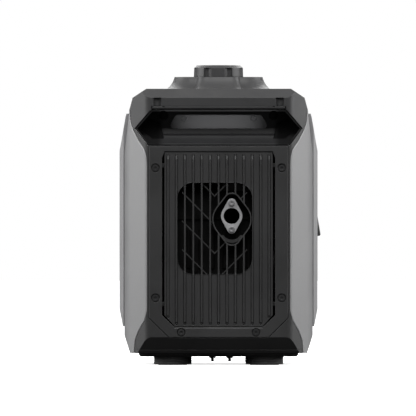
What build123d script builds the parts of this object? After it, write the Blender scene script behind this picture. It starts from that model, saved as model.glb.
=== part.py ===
from build123d import *
import os

# Portable inverter generator. Millimetres, +Z up, the exhaust end faces -Y and the control end +Y.
# The origin is on the ground, under the middle of the machine.

# ---- driving dimensions ------------------------------------------------------------------------
end_y = 248.0  # flat of each end
side_x = 141.4  # flat of each side panel
plate_x = 149.0  # face of the raised outer plates
skirt_z = 18.0  # lowest edge of the body
tray_top = 23.0  # the base tray stops here and the covers begin
split_z = 355.5  # the end covers stop here, at the tips of the hand recess, and the top cover begins
panel_top = 382.0  # top of the side panels
bar_z = 389.0  # underside of the top cover over the handles
body_top = 415.0
wall = 2.6
gap = 0.5  # moulded covers stand this far apart

foot_x, foot_y, foot_r, foot_h = 69.0, 185.0, 28.5, 12.75

frame_x, frame_low, frame_top = 104.4, 41.6, 329.0
grille_x, grille_low, grille_top = 81.4, 58.2, 320.8
rib_pitch, rib_count = 12.65, 13
window = (-62.0, 50.6, 137.0, 274.0)  # x low, x high, z low, z high
outlet_x, outlet_z = 19.6, 224.0  # middle of the exhaust outlet
collar_x, collar_z = 20.0, 219.0

cap_y, cap_r, cap_low, cap_top = -10.0, 37.3, 434.4, 452.0
plinth_top = 434.0

crank_y, crank_z = 45.0, 150.0  # crankshaft axis, along X
crank_throw, rod_length = 21.5, 80.0
bore_r = 30.0
pulley_r = 35.0
grip_y, grip_z = crank_y + pulley_r, 211.0

hinge_x, hinge_y = -145.3, 172.0  # service door hinge, upright

# Half outline of the body seen from an end: half width against height
body_outline = [(133.2, 18.0), (side_x, 45.0), (side_x, 318.0), (134.3, 382.5), (129.2, 401.5), (108.5, 415.0)]
# Seam between a grey side panel and the black end covers
seam_line = [
    (127.4, 17.0), (125.6, 37.0), (120.5, 51.0), (111.3, 67.0), (107.6, 82.0), (107.6, 299.0), (108.3, 312.6),
    (111.3, 324.0), (120.5, 338.0), (128.6, 354.0), (132.0, 365.0), (133.6, 382.5),
]
# Half outline of a raised outer plate
plate_outline = [
    (141.7, 58.2), (143.9, 58.2), (plate_x, 84.0), (plate_x, 322.0), (146.0, 338.0), (143.0, 356.0),
    (140.0, 373.0), (138.6, 378.0), (135.2, 378.0), (141.7, 318.4),
]
# Half outline of the hand recess in an end
recess_outline = [(107.0, 330.0), (126.0, 355.5), (101.0, 383.6)]

screw_places = [(94.8, 296.0), (94.8, 101.0), (56.1, 49.4), (-56.1, 49.4), (-94.8, 101.0), (-94.8, 296.0)]


def across(y):
    """Upright plane at y: local x is X and local y is Z."""
    return Plane.XZ.offset(-y)


def both_sides(half):
    """Closed outline from its right half, listed from the bottom up."""
    return half + [(-x, z) for x, z in reversed(half)]


def inward(half, amount):
    return [(x - amount, z) for x, z in half]


def body_block(inset=0.0):
    """The closed body as one block, drawn in by an inset on every side."""
    ends = [(-230, 18), (-end_y, 42), (-end_y, 401.5), (-234.5, 415), (234.5, 415), (end_y, 401.5), (end_y, 42), (230, 18)]
    plan = [(side_x + 0.1, 204), (108, end_y), (-108, end_y), (-side_x - 0.1, 204)]
    with BuildPart() as block:
        with BuildSketch(Plane.XZ) as front:
            Polygon(*both_sides(body_outline), align=None)
            if inset:
                offset(amount=-inset, kind=Kind.INTERSECTION)
            fillet(front.vertices().group_by(Axis.Z)[1:], 7 - inset)
        extrude(amount=300, both=True)
        with BuildSketch(Plane.XY) as above:
            Polygon(*plan, *[(x, -y) for x, y in reversed(plan)], align=None)
            if inset:
                offset(amount=-inset, kind=Kind.INTERSECTION)
            fillet(above.vertices().filter_by(lambda v: abs(v.Y) < 220), 46 - inset)
            fillet(above.vertices().filter_by(lambda v: abs(v.Y) > 240), 16 - inset)
        extrude(amount=440, mode=Mode.INTERSECT)
        with BuildSketch(Plane.YZ) as beside:
            Polygon(*ends, align=None)
            if inset:
                offset(amount=-inset, kind=Kind.INTERSECTION)
            fillet(beside.vertices().group_by(Axis.Z)[1:], 5 - inset)
        extrude(amount=200, both=True, mode=Mode.INTERSECT)
    return block.part


def save(piece, label):
    """Labels a finished piece and writes its STEP file."""
    piece.part.label = label
    export_step(piece.part, f"parts/{label}.step")


os.makedirs("parts", exist_ok=True)
outer_block = body_block()
inner_block = body_block(wall)

# ---- base tray, feet -----------------------------------------------------------------------------
with BuildPart() as tray_hollow:
    add(body_block(3.4))
    with BuildSketch(Plane.XY.offset(22)):
        Rectangle(238, 600)
    extrude(amount=60, mode=Mode.INTERSECT)

with BuildPart() as base_tray:
    add(outer_block)
    with BuildSketch(Plane.XZ):
        Polygon(*both_sides([(127.0, 17.0), (126.4, tray_top)]), align=None)
    extrude(amount=300, both=True, mode=Mode.INTERSECT)
    add(tray_hollow.part, mode=Mode.SUBTRACT)
    with BuildSketch(Plane.XY.offset(foot_h)):
        RectangleRounded(240, 446, 16)
    extrude(amount=5.6)
    chamfer(base_tray.faces().sort_by(Axis.Z)[0].edges(), 3)
    with BuildSketch(Plane.XY.offset(foot_h)):
        with Locations((0, -90), (0, -30), (0, 30)):
            with GridLocations(26, 0, 5, 1):
                SlotOverall(44, 8, rotation=90)
        with GridLocations(2 * foot_x, 2 * foot_y, 2, 2):
            Circle(3.6)
        with Locations((-9.2, -205), (16.5, -205)):
            Circle(2.5)
    extrude(amount=12, mode=Mode.SUBTRACT)
save(base_tray, "base_tray")

with BuildPart() as feet:
    with GridLocations(2 * foot_x, 2 * foot_y, 2, 2):
        with Locations((0, 0, 1.0)):
            Cylinder(foot_r, foot_h - 1.0, align=(Align.CENTER, Align.CENTER, Align.MIN))
        Cylinder(21, foot_h, align=(Align.CENTER, Align.CENTER, Align.MIN))
    with GridLocations(2 * foot_x, 2 * foot_y, 2, 2):
        Cylinder(8, 6, align=(Align.CENTER, Align.CENTER, Align.MIN), mode=Mode.SUBTRACT)
        Cylinder(3.6, 20, align=(Align.CENTER, Align.CENTER, Align.MIN), mode=Mode.SUBTRACT)
    fillet(feet.edges().filter_by(GeomType.CIRCLE).filter_by(lambda e: e.radius > 28 and e.center().Z < 2), 1.5)
save(feet, "feet")

with BuildPart() as foot_bolts:
    with GridLocations(2 * foot_x, 2 * foot_y, 2, 2):
        with Locations((0, 0, 2.5)):
            Cylinder(6.5, 3.5, align=(Align.CENTER, Align.CENTER, Align.MIN))
        with Locations((0, 0, 6.0)):
            Cylinder(3.2, 22, align=(Align.CENTER, Align.CENTER, Align.MIN))
        with Locations((0, 0, 22.1)):
            Cylinder(7, 5, align=(Align.CENTER, Align.CENTER, Align.MIN))
save(foot_bolts, "foot_bolts")

with BuildPart() as drain_spouts:
    with Locations((-9.2, -205), (16.5, -205)):
        with Locations((0, 0, 5.5)):
            Cylinder(2.3, 20, align=(Align.CENTER, Align.CENTER, Align.MIN))
        with Locations((0, 0, 10.4)):
            Cylinder(5, foot_h - 10.4, align=(Align.CENTER, Align.CENTER, Align.MIN))
        with Locations((0, 0, 22.1)):
            Cylinder(4, 2.5, align=(Align.CENTER, Align.CENTER, Align.MIN))
        with Locations((0, 0, 5)):
            Cylinder(1.2, 30, align=(Align.CENTER, Align.CENTER, Align.MIN), mode=Mode.SUBTRACT)
save(drain_spouts, "drain_spouts")

# ---- grey side panels and their raised outer plates ----------------------------------------------
louvre_z = [80 + 12 * n for n in range(8)]
louvre_y = (10.0, 100.0)
grip_opening = (54.0, 118.0)  # height and length of the opening for the starter grip


def side_panel():
    """Right-hand panel: the side and both rounded corners in one shell."""
    with BuildPart() as panel:
        add(outer_block)
        add(inner_block, mode=Mode.SUBTRACT)
        with BuildSketch(Plane.XZ):
            Polygon(*seam_line, (160, 382.5), (160, 17), align=None)
        extrude(amount=300, both=True, mode=Mode.INTERSECT)
        with BuildSketch(Plane.XY.offset(panel_top)):
            Rectangle(400, 600)
        extrude(amount=10, mode=Mode.SUBTRACT)
    return panel.part


def outer_plate():
    """Right-hand raised plate, hollow at the back, with sloping ends."""
    with BuildPart() as plate:
        with BuildSketch(Plane.XZ):
            Polygon(*plate_outline, align=None)
        extrude(amount=168, both=True)
        front = [(130, -170), (142, -170), (plate_x + 0.1, -158), (plate_x + 0.1, 158), (142, 170), (130, 170)]
        with BuildSketch(Plane.XY.offset(50)):
            Polygon(*front, align=None)
        extrude(amount=340, mode=Mode.INTERSECT)
        with BuildSketch(Plane.XZ):
            Polygon((140, 66), (143.0, 66), (146.4, 86), (146.4, 312), (140, 312), align=None)
        extrude(amount=152, both=True, mode=Mode.SUBTRACT)
    return plate.part


with BuildPart() as right_side_panel:
    add(side_panel())
    with BuildSketch(Plane.YZ.offset(120)):
        with Locations(*[(sum(louvre_y) / 2 - 30, z) for z in louvre_z]):
            SlotOverall(120, 5)
        with Locations((grip_y, grip_z)):
            Circle(5.5)
    extrude(amount=40, mode=Mode.SUBTRACT)
save(right_side_panel, "right_side_panel")

with BuildPart() as left_side_panel:
    add(mirror(side_panel(), about=Plane.YZ, mode=Mode.PRIVATE))
    with BuildSketch(Plane.YZ.offset(-150)):
        with Locations((0, 195)):
            RectangleRounded(270, 220, 18)
    extrude(amount=40, mode=Mode.SUBTRACT)
    # hinge lugs, each a knuckle on a short web
    for z in (106, 128.4, 286, 308.4):
        with BuildSketch(Plane.XY.offset(z)):
            with Locations((hinge_x, hinge_y)):
                Circle(3.4)
            with Locations((-141.7, hinge_y + 2.0)):
                Rectangle(5.6, 3.6)
        extrude(amount=6.6)
        with BuildSketch(Plane.XY.offset(z)):
            with Locations((hinge_x, hinge_y)):
                Circle(1.6)
        extrude(amount=6.6, mode=Mode.SUBTRACT)
save(left_side_panel, "left_side_panel")

with BuildPart() as right_outer_plate:
    add(outer_plate())
    with BuildSketch(Plane.YZ.offset(120)):
        with Locations(*[(sum(louvre_y) / 2 - 30, z) for z in louvre_z]):
            SlotOverall(124, 7)
        with Locations((grip_y, grip_z)):
            RectangleRounded(grip_opening[1], grip_opening[0], 12)
    extrude(amount=40, mode=Mode.SUBTRACT)
save(right_outer_plate, "right_outer_plate")

with BuildPart() as service_door:
    add(mirror(outer_plate(), about=Plane.YZ, mode=Mode.PRIVATE))
    with BuildSketch(Plane.XY.offset(50)):
        with Locations((-145, 173)):
            Rectangle(20, 8.4)
    extrude(amount=340, mode=Mode.SUBTRACT)
    for z in (113, 293):
        with BuildSketch(Plane.XY.offset(z)):
            with Locations((hinge_x, hinge_y)):
                Circle(3.4)
            with Locations((hinge_x - 1.2, hinge_y - 4)):
                Rectangle(4.4, 8)
        extrude(amount=15)
        with BuildSketch(Plane.XY.offset(z)):
            with Locations((hinge_x, hinge_y)):
                Circle(1.58)
        extrude(amount=15, mode=Mode.SUBTRACT)
    # finger scoop for pulling the door open
    with BuildSketch(Plane.YZ.offset(-160)):
        with Locations((-150, 210)):
            SlotOverall(46, 12, rotation=90)
    extrude(amount=12.2, mode=Mode.SUBTRACT)
save(service_door, "service_door")

with BuildPart() as door_hinge_pins:
    for z in (104.5, 284.5):
        with Locations((hinge_x, hinge_y, z)):
            Cylinder(1.52, 32, align=(Align.CENTER, Align.CENTER, Align.MIN))
        with Locations((hinge_x, hinge_y, z - 1.6)):
            Cylinder(2.6, 1.6, align=(Align.CENTER, Align.CENTER, Align.MIN))
save(door_hinge_pins, "door_hinge_pins")


# ---- end covers, hand recesses and handle grips --------------------------------------------------
def frame_sketch(grow=0.0):
    """Outline of the screwed end frame, with its two cut lower corners."""
    half = [(74.8 + 0.4 * grow, frame_low - grow), (frame_x + grow, 70.6 - 0.4 * grow), (frame_x + grow, frame_top + grow)]
    return Polygon(*both_sides(half), align=None)


def seam_lip(low, high):
    """Lip at -Y that laps behind the edge of a side panel, from inside the end cover."""
    with BuildPart() as lip:
        for outside, inside, reach in ((3.1, 4.6, 3.0), (2.5, 3.2, -0.6)):
            with BuildPart(mode=Mode.PRIVATE) as strip:
                add(body_block(outside))
                add(body_block(inside), mode=Mode.SUBTRACT)
                with BuildSketch(Plane.XZ):
                    Polygon(*inward(seam_line, 6), *reversed(inward(seam_line, -reach)), align=None)
                extrude(amount=end_y + 2, mode=Mode.INTERSECT)
                with BuildSketch(Plane.XY.offset(low)):
                    Rectangle(300, 600)
                extrude(amount=high - low, mode=Mode.INTERSECT)
                split(bisect_by=across(-225), keep=Keep.TOP)
            add(strip.part)
        mirror(about=Plane.YZ)
    return lip.part


def end_shell(low, high):
    """Black shell at -Y between two heights: lower corners, slim sides and the surround of the hand recess."""
    centre = inward([p for p in seam_line], gap)
    with BuildPart() as cover:
        add(outer_block)
        add(inner_block, mode=Mode.SUBTRACT)
        # seat for the screwed frame
        with BuildSketch(across(-end_y)):
            with Locations((0, 200)):
                Rectangle(214, 330)
        extrude(amount=-9)
        with BuildSketch(Plane.XZ):
            Polygon(*both_sides(centre), align=None)
        extrude(amount=end_y + 2, mode=Mode.INTERSECT)
        add(outer_block, mode=Mode.INTERSECT)
        with BuildSketch(Plane.XY.offset(low)):
            Rectangle(300, 600)
        extrude(amount=high - low, mode=Mode.INTERSECT)
        with BuildSketch(across(-end_y - 1)):
            frame_sketch(0.4)
        extrude(amount=-7.5, mode=Mode.SUBTRACT)
        with BuildSketch(across(-end_y - 1)):
            Polygon(*both_sides([(68, 56), (86.5, 74), (86.5, 322)]), align=None)
        extrude(amount=-20, mode=Mode.SUBTRACT)
        with BuildSketch(across(-end_y - 1)):
            Polygon(*both_sides(recess_outline[:2] + [(101.4, 384.0), (100.9, 400)]), align=None)
        extrude(amount=-80, mode=Mode.SUBTRACT)
        with BuildSketch(across(-end_y - 1)):
            with Locations(*screw_places):
                Circle(2.3)
        extrude(amount=-20, mode=Mode.SUBTRACT)
        split(bisect_by=across(-150), keep=Keep.TOP)
    return cover.part


def recess_void():
    """Open front of the hand recess: the floor rises to a ledge, then the face leans back under the bar."""
    with BuildPart() as void:
        with BuildSketch(Plane.YZ):
            with BuildLine():
                Polyline((-260, 390), (-260, 332), (-244, 332))
                ThreePointArc((-244, 332), (-232, 335.6), (-223, 344.6))
                Polyline((-223, 344.6), (-213, 347.5), (-210.5, 355.5), (-236, 390), (-260, 390))
            make_face()
        extrude(amount=150, both=True)
        with BuildSketch(across(-262)):
            Polygon(*both_sides(recess_outline), align=None)
            offset(amount=-3.0, kind=Kind.INTERSECTION)
        extrude(amount=-80, mode=Mode.INTERSECT)
    return void.part


def hand_recess():
    """Liner of the hand recess at -Y, with a finger well behind its sloping face."""
    with BuildPart() as liner:
        with BuildSketch(across(-end_y)):
            Polygon(*both_sides(recess_outline), align=None)
            offset(amount=-0.4, kind=Kind.INTERSECTION)
        extrude(amount=-42)
        with BuildSketch(across(-208)):
            Polygon(*both_sides([(79, 352.4), (66.5, 379)]), align=None)
        extrude(amount=-30)
        add(body_block(1.2), mode=Mode.INTERSECT)
        add(recess_void(), mode=Mode.SUBTRACT)
        # deep dark pockets at both sides of the ledge
        with BuildSketch(across(-262)) as pockets:
            Polygon((82, 340), (100, 340), (118, 355.5), (104, 371), (88, 364), align=None)
            mirror(about=Plane.YZ)
        extrude(amount=-53, mode=Mode.SUBTRACT)
        # finger well
        with BuildSketch(across(-262)) as well:
            Polygon(*both_sides([(76, 355.5), (64, 376)]), align=None)
            fillet(well.vertices().group_by(Axis.Z)[-1], 5)
        extrude(amount=-81.5, mode=Mode.SUBTRACT)
        # thumb tray in the ledge
        with BuildSketch(across(-262)):
            Polygon(*both_sides([(58, 349), (61, 357)]), align=None)
        extrude(amount=-49.5, mode=Mode.SUBTRACT)
        # wells of the two screws that hold the handle to the top cover
        with BuildSketch(across(-262)):
            with Locations((82.6, 375), (-82.6, 375)):
                Circle(7)
        extrude(amount=-50, mode=Mode.SUBTRACT)
        # two round bosses on the wall of the finger well
        with BuildSketch(across(-180.5)):
            with Locations((52, 371), (-52, 371)):
                Circle(4.4)
                Circle(3.4, mode=Mode.SUBTRACT)
        extrude(amount=1.2)
    return liner.part


def handle_grip():
    """Lower half of the handle bar at -Y, with a rounded lip."""
    with BuildPart() as grip:
        with BuildSketch(Plane.YZ):
            Polygon((-247.8, 388.4), (-247.8, 385.6), (-246.2, 384.2), (-238.5, 384.2), (-237.4, 388.4), align=None)
        extrude(amount=99.5, both=True)
        with BuildSketch(across(-262)):
            with Locations((82.6, 388), (-82.6, 388)):
                Circle(1.5)
        extrude(amount=-20, mode=Mode.SUBTRACT)
    return grip.part


with BuildPart() as exhaust_side:
    add(end_shell(tray_top + 0.2, split_z - 0.2))
    add(seam_lip(tray_top + 0.2, 318.0))
    with BuildSketch(across(-end_y - 1)):
        frame_sketch(0.4)
    extrude(amount=-7.5, mode=Mode.SUBTRACT)
exhaust_cover = exhaust_side.part
with BuildPart() as exhaust_end_cover:
    add(exhaust_cover)
save(exhaust_end_cover, "exhaust_end_cover")

with BuildPart() as control_end_cover:
    add(mirror(exhaust_cover, about=Plane.XZ, mode=Mode.PRIVATE))
save(control_end_cover, "control_end_cover")

recess = hand_recess()
with BuildPart() as handle_pockets:
    add(recess)
    add(mirror(recess, about=Plane.XZ, mode=Mode.PRIVATE))
save(handle_pockets, "handle_pockets")

lower_grip = handle_grip()
with BuildPart() as handle_grips:
    add(lower_grip)
    add(mirror(lower_grip, about=Plane.XZ, mode=Mode.PRIVATE))
save(handle_grips, "handle_grips")

# ---- screwed end frame, ribbed grille, control panel ---------------------------------------------
with BuildPart() as exhaust_end_frame:
    with BuildSketch(across(-end_y)):
        frame_sketch()
    extrude(amount=-6)
    chamfer(exhaust_end_frame.faces().sort_by(Axis.Y)[0].edges(), 0.8)
    fillet(exhaust_end_frame.edges().filter_by(Axis.X).group_by(Axis.Z)[-1].sort_by(Axis.Y)[0], 2.5)
    # opening for the grille, with a sloping sill
    with BuildSketch(across(-end_y - 1)):
        Polygon(*both_sides([(67.0, 58.0), (84.8, 75.0), (84.8, 311.0), (81.2, 321.0)]), align=None)
    extrude(amount=-20, mode=Mode.SUBTRACT)
    with BuildSketch(Plane.YZ):
        Polygon((-249, 54.4), (-249, 58.2), (-245, 58.2), align=None)
    extrude(amount=66, both=True, mode=Mode.SUBTRACT)
    with Locations(*[across(-end_y) * Location((x, z, 0)) for x, z in screw_places]):
        CounterBoreHole(2.3, 6.6, 3.4)
save(exhaust_end_frame, "exhaust_end_frame")

rib_x = [rib_pitch * (n - (rib_count - 1) / 2) for n in range(rib_count)]
slat_x = [x for x in rib_x if window[0] + 8 < x < window[1] - 8]


def window_sketch(grow=0.0):
    """Opening in the grille, grown or drawn in on every side."""
    x0, x1, z0, z1 = window
    with BuildSketch(Plane.XY, mode=Mode.PRIVATE) as opening:
        with Locations(((x0 + x1) / 2, (z0 + z1) / 2)):
            RectangleRounded(x1 - x0 + 2 * grow, z1 - z0 + 2 * grow, 24 + grow)
    return opening.sketch


def collar_sketch(grow=0.0):
    """Rounded diamond: a small circle above and below a large one, joined by their hull."""
    with BuildSketch(Plane.XY, mode=Mode.PRIVATE) as diamond:
        with Locations((collar_x, collar_z)):
            Circle(29.5 + grow)
        with Locations((collar_x, collar_z + 27), (collar_x, collar_z - 27)):
            Circle(13 + grow)
        make_hull()
    return diamond.sketch


grille_face = -246.4  # face of the plate between the ribs
with BuildPart() as exhaust_grille:
    # ribbed plate
    with BuildSketch(across(grille_face)):
        Polygon(*both_sides([(65.8, 58.2), (grille_x, 75.4), (grille_x, 311.0), (80.9, grille_top)]), align=None)
        add(window_sketch(), mode=Mode.SUBTRACT)
    extrude(amount=-3.0)
    # groove on each side of every rib
    with BuildSketch(across(-249)):
        for x in rib_x:
            foot = max(61.0, 60.5 + 0.96 * (abs(x) + 2.4 - 67))
            with Locations((x - 1.75, (foot + 316) / 2), (x + 1.55, (foot + 316) / 2)):
                Rectangle(1.0, 316 - foot)
    extrude(amount=-4.1, mode=Mode.SUBTRACT)
    # narrow ribs, each with a sloping top end and a small dimple under its foot
    for x in rib_x:
        foot = max(63.0, 62.0 + 0.96 * (abs(x) + 2.4 - 67))
        with BuildSketch(Plane.YZ.offset(x - 1.2)):
            Polygon((grille_face + 1, foot), (-247.8, foot + 1.5), (-247.8, 309), (grille_face + 1, 318.5), align=None)
        extrude(amount=2.4)
    with BuildSketch(across(-249)):
        for x in rib_x:
            foot = max(63.0, 62.0 + 0.96 * (abs(x) + 2.4 - 67))
            with Locations((x, foot - 0.6)):
                Circle(2.0)
                Circle(0.9, mode=Mode.SUBTRACT)
    extrude(amount=-3.9, mode=Mode.SUBTRACT)
    with BuildSketch(across(-end_y)):
        add(window_sketch())
    extrude(amount=-8, mode=Mode.SUBTRACT)
    # slats over the window carry on the line of the ribs
    with BuildSketch(across(-247.4)):
        add(window_sketch(0.3))
    extrude(amount=-6)
    with BuildSketch(across(-249)):
        add(window_sketch())
        for x in slat_x:
            with Locations((x, 205)):
                Rectangle(2.3, 150, mode=Mode.SUBTRACT)
    extrude(amount=-10, mode=Mode.SUBTRACT)
    # cross ribs behind the slats
    with BuildSketch(across(-241.4)):
        for z in (254.7, 211.7, 168.8, 125.8):
            for side in (-1, 1):
                with Locations((-6 + side * 24, z + 24 - 0.9)):
                    Rectangle(70, 1.8, rotation=side * 45)
        add(window_sketch(0.3), mode=Mode.INTERSECT)
    extrude(amount=-3)
    # collar round the exhaust outlet
    with BuildSketch(across(-247.4)):
        add(collar_sketch())
        add(window_sketch(0.3), mode=Mode.INTERSECT)
    extrude(amount=-19)
    with BuildSketch(across(-249)):
        add(collar_sketch(-1.8))
        add(window_sketch(-1.5), mode=Mode.INTERSECT)
    extrude(amount=-30, mode=Mode.SUBTRACT)
    # ledge inside the lower end of the collar
    with BuildSketch(across(-233.4)) as ledge:
        with Locations((collar_x, 199.8)):
            Circle(16.4)
        with Locations((collar_x, 203.6)):
            Circle(15.2, mode=Mode.SUBTRACT)
        with Locations((collar_x, 205)):
            Rectangle(50, 20, mode=Mode.SUBTRACT)
    extrude(amount=-5)
    with BuildSketch(across(-230.4)):
        add(collar_sketch(-1.0))
        with Locations((collar_x, 203.6)):
            Circle(15.2, mode=Mode.SUBTRACT)
        with Locations((collar_x, 225)):
            Rectangle(80, 60, mode=Mode.SUBTRACT)
    extrude(amount=-2)
    # lugs that reach under the end frame
    with BuildSketch(across(-241.9)):
        with Locations((0, 92), (0, 300)):
            Rectangle(2 * grille_x + 9, 6)
            Rectangle(2 * grille_x - 1.2, 10, mode=Mode.SUBTRACT)
    extrude(amount=-2)
    with BuildSketch(across(-243.5)):
        with Locations((0, 92), (0, 300)):
            Rectangle(2 * grille_x, 6)
            Rectangle(2 * grille_x - 5, 10, mode=Mode.SUBTRACT)
    extrude(amount=-3.6)
save(exhaust_grille, "exhaust_grille")

with BuildPart() as cover_screws:
    for end in (1, -1):
        for x, z in screw_places:
            with Locations(Location((x, -end * (end_y - 3.2), z), (-90 * end, 0, 0))):
                Cylinder(2, 16, align=(Align.CENTER, Align.CENTER, Align.MIN))
            with Locations(Location((x, -end * (end_y - 1.0), z), (-90 * end, 0, 0))):
                Cylinder(5, 2.2, align=(Align.CENTER, Align.CENTER, Align.MIN))
            with Locations(Location((x, -end * (end_y - 0.5), z), (-90 * end, 0, 0))):
                Cylinder(2.2, 2.0, align=(Align.CENTER, Align.CENTER, Align.MIN), mode=Mode.SUBTRACT)
save(cover_screws, "cover_screws")

# ---- top cover with the raised plinth round the fuel cap -----------------------------------------
with BuildPart() as top_cover:
    add(outer_block)
    add(inner_block, mode=Mode.SUBTRACT)
    with BuildSketch(Plane.XY.offset(panel_top + gap)):
        Rectangle(400, 600)
    extrude(amount=60, mode=Mode.INTERSECT)
    with BuildSketch(Plane.XZ):
        with Locations((0, 380)):
            Rectangle(202.8, 17.2)
    extrude(amount=300, both=True, mode=Mode.SUBTRACT)
    # thick bar over each hand recess, with an upright groove beside each end of it
    with Locations((0, end_y - 5, bar_z), (0, -end_y + 5, bar_z)):
        Box(202, 10, 12.5, align=(Align.CENTER, Align.CENTER, Align.MIN))
    # cheeks that reach down beside each hand recess to its tips
    cheeks = end_shell(split_z, panel_top + gap + 0.6)
    add(cheeks)
    add(mirror(cheeks, about=Plane.XZ, mode=Mode.PRIVATE))
    with Locations(*[(x, y, bar_z - 1) for x in (92, -92) for y in (end_y + 1.5, -end_y - 1.5)]):
        Cylinder(6.2, 13.5, align=(Align.CENTER, Align.CENTER, Align.MIN), mode=Mode.SUBTRACT)
    # tabs that close the space past each end of the handle grips
    with Locations(*[(x, y, 383.7) for x in (102.1, -102.1) for y in (240.8, -240.8)]):
        Box(3.8, 9.6, 6.3, align=(Align.CENTER, Align.CENTER, Align.MIN))
    with Locations(*[(x, y, 383.7) for x in (100.7, -100.7) for y in (235.4, -235.4)]):
        Box(6.6, 3.0, 6.3, align=(Align.CENTER, Align.CENTER, Align.MIN))
    # plinth, dished at its foot
    for width, length, corner in ((1.0, 1.0, 30), (0.47, 1.16, 12)):
        for height, half in ((body_top - 0.4, 80), (419, 74.5), (426, 69.5), (plinth_top, 66.5)):
            with BuildSketch(Plane.XY.offset(height)):
                with Locations((0, cap_y)):
                    RectangleRounded(2 * half * width, (2 * half - 10) * length, corner)
        loft()
    with BuildSketch(Plane.XY.offset(400)):
        with Locations((0, cap_y)):
            RectangleRounded(112, 100, 20)
    extrude(amount=29, mode=Mode.SUBTRACT)
    with BuildSketch(Plane.XY.offset(400)):
        with Locations((0, cap_y)):
            Circle(28.5)
    extrude(amount=60, mode=Mode.SUBTRACT)
save(top_cover, "top_cover")

# ---- fuel cap, neck and tank ---------------------------------------------------------------------
with BuildPart() as fuel_cap:
    with BuildSketch(across(cap_y)):
        Polygon((0, cap_low), (cap_r, cap_low), (cap_r - 0.5, cap_top - 4), (cap_r - 4.6, cap_top), (0, cap_top), align=None)
    revolve(axis=Axis((0, cap_y, 0), (0, 0, 1)))
    # finger recesses, stopping short of the top
    with Locations((0, cap_y, cap_low - 1)):
        with PolarLocations(cap_r + 3.2, 7, start_angle=-90 - 27):
            Cylinder(7.4, 14.4, align=(Align.CENTER, Align.CENTER, Align.MIN), mode=Mode.SUBTRACT)
    with BuildSketch(Plane.XY.offset(cap_low)):
        with Locations((0, cap_y)):
            Circle(30.0)
    extrude(amount=13.4, mode=Mode.SUBTRACT)
    with BuildSketch(Plane.XY.offset(cap_low + 4.4)):
        with Locations((0, cap_y)):
            Circle(31.6)
    extrude(amount=4.4, mode=Mode.SUBTRACT)
save(fuel_cap, "fuel_cap")

with BuildPart() as fuel_cap_insert:
    with BuildSketch(Plane.XY.offset(421)):
        with Locations((0, cap_y)):
            Circle(24.4)
    extrude(amount=20)
    with BuildSketch(Plane.XY.offset(439.3)):
        with Locations((0, cap_y)):
            Circle(31.2)
    extrude(amount=3.4)
    with BuildSketch(Plane.XY.offset(442.6)):
        with Locations((0, cap_y)):
            Circle(20)
    extrude(amount=4.6)
    with BuildSketch(Plane.XY.offset(420)):
        with Locations((0, cap_y)):
            Circle(20)
    extrude(amount=16, mode=Mode.SUBTRACT)
save(fuel_cap_insert, "fuel_cap_insert")

tank_y = (-125.0, 120.0)
with BuildPart() as filler_neck:
    with BuildSketch(Plane.XY.offset(396.3)):
        with Locations((0, cap_y)):
            Circle(36)
    extrude(amount=3)
    with BuildSketch(Plane.XY.offset(396.3)):
        with Locations((0, cap_y)):
            Circle(27.6)
    extrude(amount=42.7)
    with BuildSketch(Plane.XY.offset(390)):
        with Locations((0, cap_y)):
            Circle(25)
    extrude(amount=60, mode=Mode.SUBTRACT)
save(filler_neck, "filler_neck")

with BuildPart() as fuel_strainer:
    with BuildSketch(Plane.XY.offset(350)):
        with Locations((0, cap_y)):
            Circle(22.4)
    extrude(amount=66)
    with BuildSketch(Plane.XY.offset(415)):
        with Locations((0, cap_y)):
            Circle(24.7)
    extrude(amount=2)
    with BuildSketch(Plane.XY.offset(351.6)):
        with Locations((0, cap_y)):
            Circle(21)
    extrude(amount=80, mode=Mode.SUBTRACT)
save(fuel_strainer, "fuel_strainer")

with BuildPart() as fuel_tank:
    with Locations((0, sum(tank_y) / 2, 300)):
        Box(196, tank_y[1] - tank_y[0], 96, align=(Align.CENTER, Align.CENTER, Align.MIN))
    fillet(fuel_tank.edges().filter_by(Axis.Z), 22)
    fillet(fuel_tank.faces().sort_by(Axis.Z)[-1].edges() + fuel_tank.faces().sort_by(Axis.Z)[0].edges(), 10)
    offset(amount=-2.4, mode=Mode.SUBTRACT)
    with BuildSketch(Plane.XY.offset(380)):
        with Locations((0, cap_y)):
            Circle(25)
    extrude(amount=30, mode=Mode.SUBTRACT)
save(fuel_tank, "fuel_tank")

# ---- exhaust: muffler, pipe, outlet --------------------------------------------------------------
with BuildPart() as muffler:
    with Locations((5, -183, 74)):
        Box(142, 82, 188, align=(Align.CENTER, Align.CENTER, Align.MIN))
    fillet(muffler.edges().filter_by(Axis.Y), 16)
    # rolled seam where the two pressed halves meet
    with Locations((5, -183, 219)):
        Box(148, 88, 3.4, align=(Align.CENTER, Align.CENTER, Align.MIN))
    # upright swages pressed into the front
    with Locations(*[(x, -224, 146) for x in range(-45, 70, 18)]):
        Cylinder(3.2, 58, align=(Align.CENTER, Align.CENTER, Align.MIN))
    with BuildSketch(across(-224)):
        with Locations((outlet_x, outlet_z)):
            Circle(14)
    extrude(amount=15.4)
    with Locations((5, -183, 78)):
        Box(136, 76, 180, align=(Align.CENTER, Align.CENTER, Align.MIN), mode=Mode.SUBTRACT)
    with BuildSketch(across(-210)):
        with Locations((outlet_x, outlet_z)):
            Circle(12)
    extrude(amount=40, mode=Mode.SUBTRACT)
    with BuildSketch(across(-130)):
        with Locations((25, 88)):
            Circle(7.4)
    extrude(amount=20, mode=Mode.SUBTRACT)
save(muffler, "muffler")

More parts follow.
